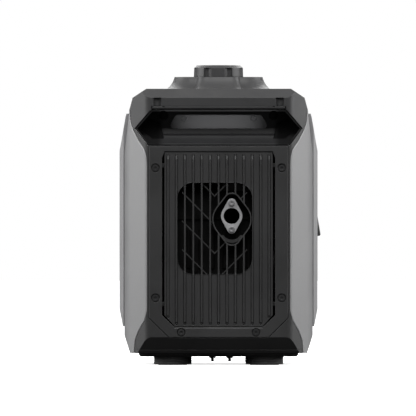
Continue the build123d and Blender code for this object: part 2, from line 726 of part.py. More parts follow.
with BuildPart() as outlet_flange:
    with BuildSketch(across(-239.7)) as flange_outline:
        with Locations((outlet_x, outlet_z)):
            Circle(16)
        with Locations((outlet_x, outlet_z + 20), (outlet_x, outlet_z - 20)):
            Circle(6.5)
        make_hull()
        with Locations((outlet_x, outlet_z)):
            Circle(12, mode=Mode.SUBTRACT)
        with Locations((outlet_x, outlet_z + 20), (outlet_x, outlet_z - 20)):
            Circle(2.6, mode=Mode.SUBTRACT)
    extrude(amount=3)
save(outlet_flange, "outlet_flange")

with BuildPart() as outlet_screws:
    for z in (outlet_z + 20, outlet_z - 20):
        with BuildSketch(across(-242.8)):
            with Locations((outlet_x, z)):
                Circle(4.5)
        extrude(amount=2.8)
        with BuildSketch(across(-242.8)):
            with Locations((outlet_x, z)):
                Circle(2.4)
        extrude(amount=-12)
        with BuildSketch(across(-244.2)):
            with Locations((outlet_x, z)):
                RegularPolygon(2.2, 6)
        extrude(amount=4, mode=Mode.SUBTRACT)
save(outlet_screws, "outlet_screws")

with BuildPart() as exhaust_pipe:
    with BuildLine() as pipe_route:
        FilletPolyline((25, -97.5, 101.6), (25, -97.5, 88), (25, -141.6, 88), radius=11)
    with BuildSketch(Plane((25, -97.5, 101.6), z_dir=(0, 0, -1))):
        Circle(9)
        Circle(7.4, mode=Mode.SUBTRACT)
    sweep()
save(exhaust_pipe, "exhaust_pipe")

# ---- engine: case, crank train, cylinder, head ---------------------------------------------------
case_y, case_z = (-12.0, 102.0), (56.0, 212.0)
crank_axis = Axis((0, crank_y, crank_z), (1, 0, 0))


def on_crank(x):
    """Plane square to the crankshaft at x, centred on its axis: local x is Y and local y is Z."""
    return Plane((x, crank_y, crank_z), x_dir=(0, 1, 0), z_dir=(1, 0, 0))


def along_cylinder(y):
    """Plane square to the cylinder at y, centred on its axis and facing the head."""
    return Plane((0, y, crank_z), x_dir=(1, 0, 0), z_dir=(0, -1, 0))


with BuildPart() as crankcase:
    with BuildSketch(Plane.YZ.offset(-42)):
        with Locations((sum(case_y) / 2, sum(case_z) / 2)):
            RectangleRounded(case_y[1] - case_y[0], case_z[1] - case_z[0], 24)
    extrude(amount=84)
    with BuildSketch(on_crank(42)):
        Circle(24)
    extrude(amount=22)
    with BuildSketch(Plane.YZ.offset(-42)):
        with Locations((sum(case_y) / 2, sum(case_z) / 2)):
            RectangleRounded(case_y[1] - case_y[0] - 14, case_z[1] - case_z[0] - 14, 18)
    extrude(amount=74, mode=Mode.SUBTRACT)
    with BuildSketch(on_crank(20)):
        Circle(21)
    extrude(amount=22, mode=Mode.SUBTRACT)
    with BuildSketch(on_crank(20)):
        Circle(12)
    extrude(amount=60, mode=Mode.SUBTRACT)
    with BuildSketch(along_cylinder(10)):
        Circle(bore_r + 4.2)
    extrude(amount=30, mode=Mode.SUBTRACT)
    with BuildSketch(Plane.XY.offset(50)):
        with Locations((0, sum(case_y) / 2)):
            Rectangle(128, 104)
    extrude(amount=5.8)
    with Locations((0, sum(case_y) / 2, 55)):
        Box(83, 90, 3, align=(Align.CENTER, Align.CENTER, Align.MIN))
    with BuildSketch(Plane.XY.offset(40)):
        with Locations((0, sum(case_y) / 2)):
            with GridLocations(100, 76, 2, 2):
                Circle(4.2)
        with Locations((-30, 78)):
            Circle(7.4)
    extrude(amount=14.7, mode=Mode.SUBTRACT)
    with BuildSketch(Plane((-30, 102, 86), x_dir=(1, 0, 0), z_dir=(0, 1, 0))):
        Circle(7)
    extrude(amount=-10, mode=Mode.SUBTRACT)
save(crankcase, "crankcase")

with BuildPart() as crankcase_cover:
    with BuildSketch(Plane.YZ.offset(-52)):
        with Locations((sum(case_y) / 2, sum(case_z) / 2)):
            RectangleRounded(case_y[1] - case_y[0], case_z[1] - case_z[0], 24)
    extrude(amount=9.8)
    chamfer(crankcase_cover.faces().sort_by(Axis.X)[0].edges(), 2)
    with BuildSketch(on_crank(-50)):
        Circle(21)
    extrude(amount=20, mode=Mode.SUBTRACT)
    with BuildSketch(Plane.YZ.offset(-52)):
        with Locations((sum(case_y) / 2, sum(case_z) / 2)):
            with GridLocations(84, 120, 2, 2):
                Circle(4.8)
    extrude(amount=-3)
save(crankcase_cover, "crankcase_cover")

with BuildPart() as crank_bearings:
    for x in (-49.8, 34.2):
        with BuildSketch(on_crank(x)):
            Circle(21)
            Circle(10.05, mode=Mode.SUBTRACT)
        extrude(amount=7.6)
save(crank_bearings, "crank_bearings")

web_gap, web_thick = 6.0, 9.0
with BuildPart() as crankshaft:
    for x in (-web_gap - web_thick, web_gap):
        with BuildSketch(on_crank(x)):
            Circle(30)
            with Locations((30, 26), (30, -26)):
                Circle(14, mode=Mode.SUBTRACT)
        extrude(amount=web_thick)
    for x, long in ((-49, 49 - web_gap - 1), (web_gap + 1, 109 - web_gap - 1)):
        with BuildSketch(on_crank(x)):
            Circle(10)
        extrude(amount=long)
save(crankshaft, "crankshaft")

pin_y = crank_y - crank_throw
wrist_y = pin_y - rod_length
with BuildPart() as crank_pin:
    with BuildSketch(Plane((-5.6, pin_y, crank_z), x_dir=(0, 1, 0), z_dir=(1, 0, 0))):
        Circle(9)
    extrude(amount=11.2)
save(crank_pin, "crank_pin")

with BuildPart() as connecting_rod:
    with BuildSketch(Plane((-5.2, 0, crank_z), x_dir=(0, 1, 0), z_dir=(1, 0, 0))):
        with Locations((pin_y, 0)):
            Circle(14)
        with Locations((wrist_y, 0)):
            Circle(10)
        with Locations(((pin_y + wrist_y) / 2, 0)):
            Rectangle(rod_length - 6, 11)
    extrude(amount=10.4)
    for x in (-6, 3):
        with BuildSketch(Plane((x, 0, crank_z), x_dir=(0, 1, 0), z_dir=(1, 0, 0))):
            with Locations(((pin_y + wrist_y) / 2, 0)):
                RectangleRounded(rod_length - 32, 6, 2)
        extrude(amount=3, mode=Mode.SUBTRACT)
    with BuildSketch(Plane((-8, 0, crank_z), x_dir=(0, 1, 0), z_dir=(1, 0, 0))):
        with Locations((pin_y, 0)):
            Circle(9.04)
        with Locations((wrist_y, 0)):
            Circle(6.04)
    extrude(amount=16, mode=Mode.SUBTRACT)
save(connecting_rod, "connecting_rod")

with BuildPart() as piston:
    with BuildSketch(along_cylinder(wrist_y + 17)):
        Circle(bore_r - 0.08)
    extrude(amount=40)
    with BuildSketch(along_cylinder(wrist_y + 17)):
        Circle(bore_r - 4)
    extrude(amount=34, mode=Mode.SUBTRACT)
    for side in (-1, 1):
        with BuildSketch(Plane((side * 8, wrist_y, crank_z), x_dir=(0, 1, 0), z_dir=(side, 0, 0))):
            Circle(10)
        extrude(amount=19)
    for y in (-14.5, -18.0, -21.0):
        with BuildSketch(along_cylinder(wrist_y + y + 0.6)):
            Circle(bore_r + 2)
            Circle(bore_r - 2, mode=Mode.SUBTRACT)
        extrude(amount=1.2, mode=Mode.SUBTRACT)
    with BuildSketch(Plane((-40, wrist_y, crank_z), x_dir=(0, 1, 0), z_dir=(1, 0, 0))):
        Circle(6.04)
    extrude(amount=80, mode=Mode.SUBTRACT)
save(piston, "piston")

with BuildPart() as piston_pin:
    with BuildSketch(Plane((-25, wrist_y, crank_z), x_dir=(0, 1, 0), z_dir=(1, 0, 0))):
        Circle(6)
        Circle(3.6, mode=Mode.SUBTRACT)
    extrude(amount=50)
save(piston_pin, "piston_pin")

barrel_end = wrist_y - 25.0  # top of the barrel, just past the piston crown
with BuildPart() as cylinder:
    with BuildSketch(along_cylinder(4)):
        Circle(bore_r + 4)
    extrude(amount=4 - barrel_end)
    with BuildSketch(along_cylinder(case_y[0] - 0.3)):
        RectangleRounded(84, 84, 8)
    extrude(amount=5)
    for n in range(8):
        with BuildSketch(along_cylinder(barrel_end + 1.8 + 6.6 * n)):
            RectangleRounded(92, 96, 12)
        extrude(amount=1.8)
    with BuildSketch(along_cylinder(10)):
        Circle(bore_r)
    extrude(amount=120, mode=Mode.SUBTRACT)
save(cylinder, "cylinder")

head_end = barrel_end - 29
with BuildPart() as cylinder_head:
    with BuildSketch(along_cylinder(barrel_end - 0.3)):
        RectangleRounded(72, 80, 10)
    extrude(amount=28.7)
    for n in range(4):
        with BuildSketch(along_cylinder(barrel_end - 0.3 - 8.4 * n)):
            RectangleRounded(92, 96, 12)
        extrude(amount=2.2)
    with BuildSketch(along_cylinder(barrel_end - 0.2)):
        Circle(26)
    extrude(amount=10, mode=Mode.SUBTRACT)
    # exhaust port below, inlet port above, plug hole at -X
    with BuildSketch(Plane((25, -97.5, 90), x_dir=(1, 0, 0), z_dir=(0, 0, 1))):
        Circle(10)
    extrude(amount=22, mode=Mode.SUBTRACT)
    with BuildSketch(Plane((0, -100, 180), x_dir=(1, 0, 0), z_dir=(0, 0, 1))):
        Circle(9)
    extrude(amount=30, mode=Mode.SUBTRACT)
    with BuildSketch(Plane((-60, -98, crank_z), x_dir=(0, 1, 0), z_dir=(1, 0, 0))):
        Circle(6.1)
    extrude(amount=40, mode=Mode.SUBTRACT)
    with BuildSketch(Plane((-60, -98, crank_z), x_dir=(0, 1, 0), z_dir=(1, 0, 0))):
        Circle(10.5)
    extrude(amount=28, mode=Mode.SUBTRACT)
save(cylinder_head, "cylinder_head")

with BuildPart() as valve_cover:
    with BuildSketch(along_cylinder(head_end - 0.3)):
        RectangleRounded(64, 72, 12)
    extrude(amount=17)
    fillet(valve_cover.faces().sort_by(Axis.Y)[0].edges(), 5)
    with BuildSketch(along_cylinder(head_end - 0.2)):
        RectangleRounded(58, 66, 9)
    extrude(amount=14, mode=Mode.SUBTRACT)
save(valve_cover, "valve_cover")

with BuildPart() as spark_plug:
    for x, long, radius in ((-32, 12, 6.0), (-36, 4, 8.0), (-42, 6, 9.0), (-62, 20, 5.4), (-70, 8, 3.0)):
        with BuildSketch(Plane((x, -98, crank_z), x_dir=(0, 1, 0), z_dir=(1, 0, 0))):
            Circle(radius)
        extrude(amount=long)
save(spark_plug, "spark_plug")

with BuildPart() as oil_dipstick:
    with BuildSketch(Plane((-30, 102.3, 86), x_dir=(1, 0, 0), z_dir=(0, 1, 0))):
        Circle(12)
    extrude(amount=9)
    with BuildSketch(Plane((-30, 102.3, 86), x_dir=(1, 0, 0), z_dir=(0, 1, 0))):
        Circle(6.6)
    extrude(amount=-8)
    with BuildSketch(Plane((-30, 95, 86), x_dir=(1, 0, 0), z_dir=(0, 1, 0))):
        Circle(2)
    extrude(amount=-40)
    with Locations(Location((-30, 116, 86))):
        Box(16, 10, 3)
save(oil_dipstick, "oil_dipstick")

with BuildPart() as engine_mounts:
    with Locations(*[(x, sum(case_y) / 2 + y, 22.2) for x in (-50, 50) for y in (-38, 38)]):
        Cylinder(14, 8, align=(Align.CENTER, Align.CENTER, Align.MIN))
        Cylinder(10, 27.6, align=(Align.CENTER, Align.CENTER, Align.MIN))
    with Locations(*[(x, sum(case_y) / 2 + y, 41.8) for x in (-50, 50) for y in (-38, 38)]):
        Cylinder(14, 8, align=(Align.CENTER, Align.CENTER, Align.MIN))
        Cylinder(4, 12.6, align=(Align.CENTER, Align.CENTER, Align.MIN))
save(engine_mounts, "engine_mounts")

# ---- carburettor and air filter ------------------------------------------------------------------
with BuildPart() as carburettor:
    with BuildSketch(Plane.XY.offset(198.4)):
        with Locations((0, -100)):
            Circle(13)
            Circle(9, mode=Mode.SUBTRACT)
    extrude(amount=14)
    with Locations((0, -100, 212)):
        Box(46, 34, 30, align=(Align.CENTER, Align.CENTER, Align.MIN))
    with BuildSketch(Plane.XY.offset(200.4)):
        with Locations((0, -100)):
            SlotOverall(50, 24)
    extrude(amount=3)
    with BuildSketch(Plane((-23, -100, 228), x_dir=(0, 1, 0), z_dir=(-1, 0, 0))):
        Circle(12)
    extrude(amount=10)
    with BuildSketch(Plane((-40, -100, 228), x_dir=(0, 1, 0), z_dir=(1, 0, 0))):
        Circle(9)
    extrude(amount=40, mode=Mode.SUBTRACT)
    with Locations((6, -76, 214)):
        Cylinder(11, 26, align=(Align.CENTER, Align.CENTER, Align.MIN))
save(carburettor, "carburettor")

box_x, box_y, box_z = (-126.0, -33.4), (-124.0, -18.0), (198.0, 284.0)
box_centre = (sum(box_x) / 2, sum(box_y) / 2, sum(box_z) / 2)
box_size = (box_x[1] - box_x[0], box_y[1] - box_y[0], box_z[1] - box_z[0])
with BuildPart() as air_filter_box:
    with Locations(box_centre):
        Box(*box_size)
    fillet(air_filter_box.edges().filter_by(Axis.X), 10)
    with Locations((box_centre[0] - 2, box_centre[1], box_centre[2])):
        Box(box_size[0] - 1.0, box_size[1] - 5, box_size[2] - 5, mode=Mode.SUBTRACT)
    with BuildSketch(Plane((-60, -100, 228), x_dir=(0, 1, 0), z_dir=(1, 0, 0))):
        Circle(9)
    extrude(amount=40, mode=Mode.SUBTRACT)
save(air_filter_box, "air_filter_box")

with BuildPart() as air_filter_element:
    with Locations((box_x[0] + 22, box_centre[1], box_centre[2])):
        Box(34, box_size[1] - 6, box_size[2] - 6)
    with BuildSketch(Plane.YZ.offset(box_x[0])):
        with Locations((box_centre[1], box_centre[2])):
            with GridLocations(12, 0, 8, 1):
                Rectangle(4, box_size[2] - 16)
    extrude(amount=12, mode=Mode.SUBTRACT)
save(air_filter_element, "air_filter_element")

# ---- alternator, fan, recoil starter -------------------------------------------------------------
with BuildPart() as generator_rotor:
    with BuildSketch(on_crank(66)):
        Circle(63)
        Circle(57.5, mode=Mode.SUBTRACT)
    extrude(amount=30)
    with BuildSketch(on_crank(92)):
        Circle(63)
    extrude(amount=4)
    with BuildSketch(on_crank(84)):
        Circle(18)
    extrude(amount=12)
    with BuildSketch(on_crank(80)):
        Circle(10.05)
    extrude(amount=30, mode=Mode.SUBTRACT)
save(generator_rotor, "generator_rotor")

with BuildPart() as stator:
    with BuildSketch(on_crank(66.2)):
        Circle(32)
        Circle(24.1, mode=Mode.SUBTRACT)
        with PolarLocations(42, 12):
            Rectangle(24, 8)
    extrude(amount=16)
    with BuildSketch(on_crank(66.2)):
        with PolarLocations(54, 12):
            Rectangle(4, 22)
    extrude(amount=16)
    # windings
    with BuildSketch(on_crank(66.2)):
        with PolarLocations(42.5, 12):
            Rectangle(17, 13.5)
    extrude(amount=19)
    with BuildSketch(on_crank(46)):
        Circle(30)
        Circle(24.1, mode=Mode.SUBTRACT)
    extrude(amount=22)
save(stator, "stator")

with BuildPart() as cooling_fan:
    with BuildSketch(on_crank(96.3)):
        Circle(66)
        Circle(10.05, mode=Mode.SUBTRACT)
    extrude(amount=2.6)
    with BuildSketch(on_crank(96.3)):
        with PolarLocations(57, 14):
            Rectangle(34, 2.4, rotation=24)
    extrude(amount=16)
    with BuildSketch(on_crank(96.3)):
        Circle(18)
        Circle(10.05, mode=Mode.SUBTRACT)
    extrude(amount=12)
save(cooling_fan, "cooling_fan")

with BuildPart() as fan_shroud:
    with BuildSketch(on_crank(50)):
        Circle(82)
        Circle(79.4, mode=Mode.SUBTRACT)
    extrude(amount=64)
    with BuildSketch(on_crank(50)):
        Circle(82)
        Circle(66, mode=Mode.SUBTRACT)
    extrude(amount=2.6)
    # mouth that sends the air to the cylinder
    with BuildSketch(Plane((54, crank_y - 74, crank_z), x_dir=(1, 0, 0), z_dir=(0, -1, 0))):
        with Locations((20, 0)):
            Rectangle(36, 80)
    extrude(amount=14)
    with BuildSketch(Plane((54, crank_y - 70, crank_z), x_dir=(1, 0, 0), z_dir=(0, -1, 0))):
        with Locations((20, 0)):
            Rectangle(31, 75)
    extrude(amount=24, mode=Mode.SUBTRACT)
save(fan_shroud, "fan_shroud")

with BuildPart() as recoil_housing:
    with BuildSketch(on_crank(114.3)):
        Circle(82)
    extrude(amount=20)
    chamfer(recoil_housing.faces().sort_by(Axis.X)[-1].edges(), 6)
    with BuildSketch(on_crank(114)):
        Circle(79.2)
    extrude(amount=13, mode=Mode.SUBTRACT)
    with BuildSketch(on_crank(127)):
        Circle(74)
    extrude(amount=4.8, mode=Mode.SUBTRACT)
    # air slots in three rings round the middle
    with BuildSketch(on_crank(120)):
        with PolarLocations(60, 20):
            SlotOverall(16, 5)
        with PolarLocations(42, 14):
            SlotOverall(12, 5)
    extrude(amount=30, mode=Mode.SUBTRACT)
    with BuildSketch(Plane.YZ.offset(120)):
        with Locations((grip_y, grip_z)):
            Circle(6)
    extrude(amount=30, mode=Mode.SUBTRACT)
    with BuildSketch(on_crank(116)):
        Circle(8)
    extrude(amount=18)
save(recoil_housing, "recoil_housing")

with BuildPart() as recoil_pulley:
    for x, long, radius in ((117.2, 1.8, 39), (119.0, 5.4, pulley_r - 2.2), (124.4, 1.8, 39)):
        with BuildSketch(on_crank(x)):
            Circle(radius)
        extrude(amount=long)
    with BuildSketch(on_crank(116)):
        Circle(8.06)
        with PolarLocations(22, 6):
            Circle(5)
    extrude(amount=20, mode=Mode.SUBTRACT)
save(recoil_pulley, "recoil_pulley")

with BuildPart() as recoil_rope:
    with BuildLine():
        FilletPolyline((121.7, grip_y, crank_z), (121.7, grip_y, grip_z), (141.2, grip_y, grip_z), radius=8)
    with BuildSketch(Plane((121.7, grip_y, crank_z), z_dir=(0, 0, 1))):
        Circle(1.9)
    sweep()
save(recoil_rope, "recoil_rope")

with BuildPart() as recoil_grip:
    with BuildSketch(Plane.XZ.offset(-grip_y)):
        with BuildLine():
            Polyline((142.2, 194.5), (142.2, 230.5), (147.0, 230.5), (149.2, 228.0), (155.3, 200.5), (155.3, 197.4))
            ThreePointArc((155.3, 197.4), (154.2, 194.7), (151.6, 193.6))
            Line((151.6, 193.6), (142.2, 194.5))
        make_face()
    extrude(amount=40, both=True)
    fillet(recoil_grip.edges().filter_by(lambda e: abs(abs(e.center().Y - grip_y) - 40) < 0.1), 1.6)
    with BuildSketch(Plane.YZ.offset(140)):
        with Locations((grip_y, grip_z)):
            Circle(2.6)
    extrude(amount=8, mode=Mode.SUBTRACT)
save(recoil_grip, "recoil_grip")

# ---- inverter and control panel ------------------------------------------------------------------
with BuildPart() as inverter_module:
    with Locations((0, 165, 36)):
        Box(190, 40, 120, align=(Align.CENTER, Align.CENTER, Align.MIN))
    for n in range(13):
        with Locations((-90 + 15 * n, 190, 36)):
            Box(2.4, 14, 120, align=(Align.CENTER, Align.CENTER, Align.MIN))
    with Locations((0, 165, 22.2)):
        Box(160, 22, 14, align=(Align.CENTER, Align.CENTER, Align.MIN))
save(inverter_module, "inverter_module")

dial_x, dial_z = -52.0, 262.0
rocker_x, rocker_z = 30.0, 214.0
button_x, button_z = 70.0, 214.0
outlet_places = [(-44.0, 116.0), (44.0, 116.0)]
socket_r, flap_half, flap_hinge_z = 21.0, 30.0, 34.0
panel_y = 242.0  # face of the recessed control panel


def on_panel(x, z, y=panel_y):
    """Plane on the control panel: local y is Z, facing out of the panel."""
    return Plane((x, y, z), x_dir=(-1, 0, 0), z_dir=(0, 1, 0))


with BuildPart() as control_panel:
    with BuildSketch(on_panel(0, 0, 241.9)):
        frame_sketch()
    extrude(amount=6.1)
    with BuildSketch(on_panel(0, 0, 238.6)):
        Polygon(*both_sides([(67.6, 56.6), (86, 74.4), (86, 321.5)]), align=None)
    extrude(amount=4)
    # recessed field
    with BuildSketch(on_panel(0, 0)) as field:
        Polygon(*both_sides([(66, 62), (83, 79), (83, 316)]), align=None)
        fillet(field.vertices(), 6)
    extrude(amount=20, mode=Mode.SUBTRACT)
    # raised rim round the two outlets
    with BuildSketch(on_panel(0, 119)):
        RectangleRounded(164, 84, 12)
        RectangleRounded(158, 78, 9, mode=Mode.SUBTRACT)
    extrude(amount=2.5)
    with BuildSketch(on_panel(0, 0, 230)):
        with Locations((-dial_x, dial_z)):
            Circle(8.0)
        with Locations((-rocker_x, rocker_z)):
            Rectangle(16.4, 26.4)
        with Locations((-button_x, button_z)):
            Circle(6.2)
        with Locations((-40, 262)):
            Rectangle(60.4, 34.4)
        with Locations(*outlet_places):
            Circle(socket_r + 0.2)
    extrude(amount=20, mode=Mode.SUBTRACT)
    with Locations(*[across(end_y) * Location((x, z, 0), (180, 0, 0)) for x, z in screw_places]):
        CounterBoreHole(2.3, 6.6, 3.4)
    # hinge cheeks for the outlet flaps
    for x, z in outlet_places:
        for side in (-1, 1):
            with BuildSketch(Plane((x + side * 24 - 2, 0, 0), x_dir=(0, 1, 0), z_dir=(1, 0, 0))):
                with Locations((panel_y + 1.6, z + flap_hinge_z)):
                    Rectangle(3.6, 5.6)
                with Locations((panel_y + 3.4, z + flap_hinge_z)):
                    Circle(2.8)
                    Circle(1.25, mode=Mode.SUBTRACT)
            extrude(amount=4)
save(control_panel, "control_panel")

with BuildPart() as ac_outlets:
    for x, z in outlet_places:
        with BuildSketch(on_panel(x, z, 214)):
            Circle(socket_r)
        extrude(amount=panel_y - 214 - 0.5)
        with BuildSketch(on_panel(x, z, 214)):
            Circle(socket_r + 3.5)
        extrude(amount=24.6)
        with BuildSketch(on_panel(x, z, 224)):
            with Locations((-7, 4), (7, 4)):
                Rectangle(2.2, 9)
            with Locations((0, -9)):
                Circle(2.6)
        extrude(amount=30, mode=Mode.SUBTRACT)
save(ac_outlets, "ac_outlets")


def outlet_flap(x, z):
    """Spring flap that hangs from its hinge over one outlet."""
    with BuildPart() as flap:
        with BuildSketch(on_panel(x, z, panel_y + 0.6)):
            RectangleRounded(2 * flap_half, 60, 8)
        extrude(amount=3.0)
        chamfer(flap.faces().sort_by(Axis.Y)[-1].edges(), 0.8)
        with BuildSketch(Plane((x - 21.7, 0, 0), x_dir=(0, 1, 0), z_dir=(1, 0, 0))):
            with Locations((panel_y + 3.4, z + flap_hinge_z)):
                Circle(2.8)
            with Locations((panel_y + 2.1, z + flap_hinge_z - 3.2)):
                Rectangle(3.0, 6)
        extrude(amount=43.4)
        with BuildSketch(Plane((x - 26, 0, 0), x_dir=(0, 1, 0), z_dir=(1, 0, 0))):
            with Locations((panel_y + 3.4, z + flap_hinge_z)):
                Circle(1.2)
        extrude(amount=52)
        with BuildSketch(on_panel(x, z - 27, panel_y + 3.0)):
            SlotOverall(18, 3.4)
        extrude(amount=1.8)
    return flap.part


with BuildPart() as outlet_flap_left:
    add(outlet_flap(*outlet_places[0]))
save(outlet_flap_left, "outlet_flap_left")

with BuildPart() as outlet_flap_right:
    add(outlet_flap(*outlet_places[1]))
save(outlet_flap_right, "outlet_flap_right")

with BuildPart() as control_dial:
    with BuildSketch(on_panel(dial_x, dial_z, 226)):
        Circle(7.95)
    extrude(amount=panel_y - 226 + 1)
    with BuildSketch(on_panel(dial_x, dial_z, panel_y + 0.4)):
        Circle(25)
    extrude(amount=3)
    with BuildSketch(on_panel(dial_x, dial_z, panel_y + 0.4)):
        Circle(21)
    extrude(amount=4.2)
    with BuildSketch(on_panel(dial_x, dial_z, panel_y + 0.4)):
        SlotOverall(40, 9, rotation=90)
    extrude(amount=6.8)
    fillet(control_dial.faces().sort_by(Axis.Y)[-1].edges(), 1.2)
save(control_dial, "control_dial")

with BuildPart() as eco_rocker:
    with BuildSketch(Plane((rocker_x - 8, 0, 0), x_dir=(0, 1, 0), z_dir=(1, 0, 0))):
        with BuildLine():
            Polyline((panel_y - 8, rocker_z - 8), (panel_y + 2.6, rocker_z - 12.4), (panel_y + 1.0, rocker_z))
            Polyline((panel_y + 1.0, rocker_z), (panel_y + 2.6, rocker_z + 12.4), (panel_y - 8, rocker_z + 8))
            Line((panel_y - 8, rocker_z + 8), (panel_y - 8, rocker_z - 8))
        make_face()
    extrude(amount=16)
save(eco_rocker, "eco_rocker")

with BuildPart() as reset_button:
    with BuildSketch(on_panel(button_x, button_z, 228)):
        Circle(6.1)
    extrude(amount=panel_y - 228 + 4.2)
    fillet(reset_button.faces().sort_by(Axis.Y)[-1].edges(), 1.0)
    with BuildSketch(on_panel(button_x, button_z, 226)):
        Circle(8)
    extrude(amount=4)
save(reset_button, "reset_button")

with BuildPart() as status_display:
    with BuildSketch(on_panel(40, 262, 224)):
        Rectangle(60, 34)
    extrude(amount=panel_y - 224 - 0.4)
    with BuildSketch(on_panel(40, 262, 224)):
        Rectangle(66, 40)
    extrude(amount=14.6)
save(status_display, "status_display")
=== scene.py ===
import math

import bmesh
import bpy
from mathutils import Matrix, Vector


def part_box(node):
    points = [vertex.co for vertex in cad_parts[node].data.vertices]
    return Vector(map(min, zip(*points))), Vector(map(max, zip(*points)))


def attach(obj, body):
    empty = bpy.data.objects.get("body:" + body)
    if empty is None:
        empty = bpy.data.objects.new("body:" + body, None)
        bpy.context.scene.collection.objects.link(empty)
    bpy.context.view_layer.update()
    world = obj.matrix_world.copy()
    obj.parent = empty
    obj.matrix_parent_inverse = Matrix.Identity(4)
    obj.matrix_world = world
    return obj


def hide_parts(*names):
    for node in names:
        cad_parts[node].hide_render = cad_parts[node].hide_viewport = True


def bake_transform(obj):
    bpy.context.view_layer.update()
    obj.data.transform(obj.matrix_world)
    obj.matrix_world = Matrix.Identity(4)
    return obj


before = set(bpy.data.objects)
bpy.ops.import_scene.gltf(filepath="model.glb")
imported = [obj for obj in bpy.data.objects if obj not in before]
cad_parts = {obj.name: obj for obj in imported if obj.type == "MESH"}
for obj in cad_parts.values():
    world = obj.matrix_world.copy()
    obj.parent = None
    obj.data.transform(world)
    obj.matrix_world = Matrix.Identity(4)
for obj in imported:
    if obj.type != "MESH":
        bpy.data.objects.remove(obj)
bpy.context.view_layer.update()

# feet: where they stand, rounding of the base, grooves round the side, pad and bolt well
FOOT_RADIUS = 0.0285
FOOT_SPOTS = [(sx * 0.069, sy * 0.185) for sx in (-1, 1) for sy in (-1, 1)]
FOOT_ROUNDING = 0.0014
GROOVE_HEIGHTS = (0.35, 0.68)  # shares of the foot's height
GROOVE_HALF_WIDTH, GROOVE_DEPTH = 0.0005, 0.0006
PAD_SETBACK, PAD_WIDTH, BOLT_WELL = 0.0055, 0.0125, 0.006

# starter: how far the top of the grip leans in, and the rope's line and its bend out of the starter body
GRIP_LEAN = 0.0063
ROPE_Y, ROPE_Z, ROPE_BEND = 0.08, 0.211, 0.008

# fine patterns, in radians per metre, or per radian for the gauze's upright wires
WIRE_TURNS, BRAID_STRANDS, GAUZE_ROWS, GAUZE_WIRES = 5600.0, 2400.0, 7000.0, 180.0

WELL_WALL = 0.1805  # distance from the middle to the back wall of a finger well
DUST = (0.2, 0.19, 0.175, 1.0)
LAMP_PITCH = 0.018
RED, AMBER, GREEN = (0.5, 0.03, 0.02, 1.0), (0.5, 0.28, 0.02, 1.0), (0.03, 0.4, 0.06, 1.0)

# studio lamps: name, place, width, height, watts
LAMPS = (
    ("left softbox", (-2.5, 0.0, 1.25), 1.9, 2.3, 62),
    ("right softbox", (2.5, 0.0, 1.25), 1.9, 2.3, 62),
    ("front softbox", (0, -2.4, 2.5), 2.6, 1.4, 66),
    ("rear softbox", (0, 2.4, 2.1), 2.6, 1.6, 90),
    ("recess fill", (0, -0.211, 0.366), 0.11, 0.012, 0.016),
)
AIM_HEIGHT = 0.22  # the softboxes face the machine's middle
CAMERA_PLACE, CAMERA_LENS = (-0.0159, -26.25, 0.236), 1500.0

bl_info = {
    "name": "Portable Generator",
    "version": (1, 0, 0),
    "blender": (4, 5, 0),
    "location": "View3D > Sidebar > Generator",
    "description": "Finishes and fittings of a portable inverter generator",
    "category": "Object",
}


# ---- sizes and colours that a user would change --------------------------------------------------
def length(name, description, default):
    return bpy.props.FloatProperty(name=name, description=description, default=default, min=0.0, unit="LENGTH")


def colour(name, description, default):
    return bpy.props.FloatVectorProperty(
        name=name, description=description, default=default, size=3, min=0.0, max=1.0, subtype="COLOR")


class GeneratorSizes(bpy.types.PropertyGroup):
    """Sizes of the fittings and of the surface detail"""

    soft_edge: length("Soft Edge", "Radius that the edges of moulded pieces are rounded to", 0.0011)
    metal_edge: length("Metal Edge", "Radius that the edges of metal pieces are broken to", 0.0004)
    grain: length("Moulded Grain", "Size of the grain in moulded plastic", 0.0006)
    cast_grain: length("Cast Grain", "Size of the grain in cast aluminium", 0.0012)
    grip_groove: length("Grip Groove", "Depth of the finger grooves in the starter grip", 0.0009)
    grip_groove_pitch: length("Grip Groove Pitch", "Distance from groove to groove on the starter grip", 0.008)
    rope_diameter: length("Rope Diameter", "Diameter of the starter rope", 0.0038)
    foot_pad: length("Foot Pad", "How far the pad under a foot stands below its rounded base", 0.001)
    panel_edge: length("Panel Edge", "Radius of the rounded edges of the grey side panels", 0.0024)
    foam_crown: length("Foam Crown", "How far the air filter foam swells between its corners", 0.0012)


class GeneratorColours(bpy.types.PropertyGroup):
    """Colours of the finishes"""

    panel_grey: colour("Panel Grey", "Side panels", (0.235, 0.235, 0.238))
    plate_grey: colour("Plate Grey", "Raised outer plates and service door", (0.275, 0.275, 0.28))
    black: colour("Black Moulding", "End covers, frame, grille and tray", (0.024, 0.024, 0.0245))
    top_black: colour("Top Black", "Top cover and plinth", (0.03, 0.03, 0.031))
    recess_black: colour("Recess Black", "Hand recesses", (0.024, 0.024, 0.025))
    rubber: colour("Rubber", "Feet, mounts and drain spouts", (0.045, 0.045, 0.045))
    bright_steel: colour("Bright Steel", "Outlet flange and its screws", (0.5, 0.5, 0.51))
    zinc: colour("Zinc Plate", "Bolts and pins", (0.42, 0.42, 0.43))
    aluminium: colour("Cast Aluminium", "Engine castings", (0.5, 0.5, 0.51))
    exhaust_black: colour("Exhaust Black", "Heat-proof paint of the muffler", (0.004, 0.004, 0.004))
    copper: colour("Copper", "Enamelled windings", (0.42, 0.17, 0.06))
    foam: colour("Foam", "Air filter element", (0.06, 0.06, 0.065))
    button_red: colour("Button Red", "Circuit protector button", (0.35, 0.02, 0.012))
    dipstick: colour("Dipstick Orange", "Oil filler cap", (0.6, 0.25, 0.02))
    floor: colour("Floor", "Plain studio floor", (0.93, 0.93, 0.93))


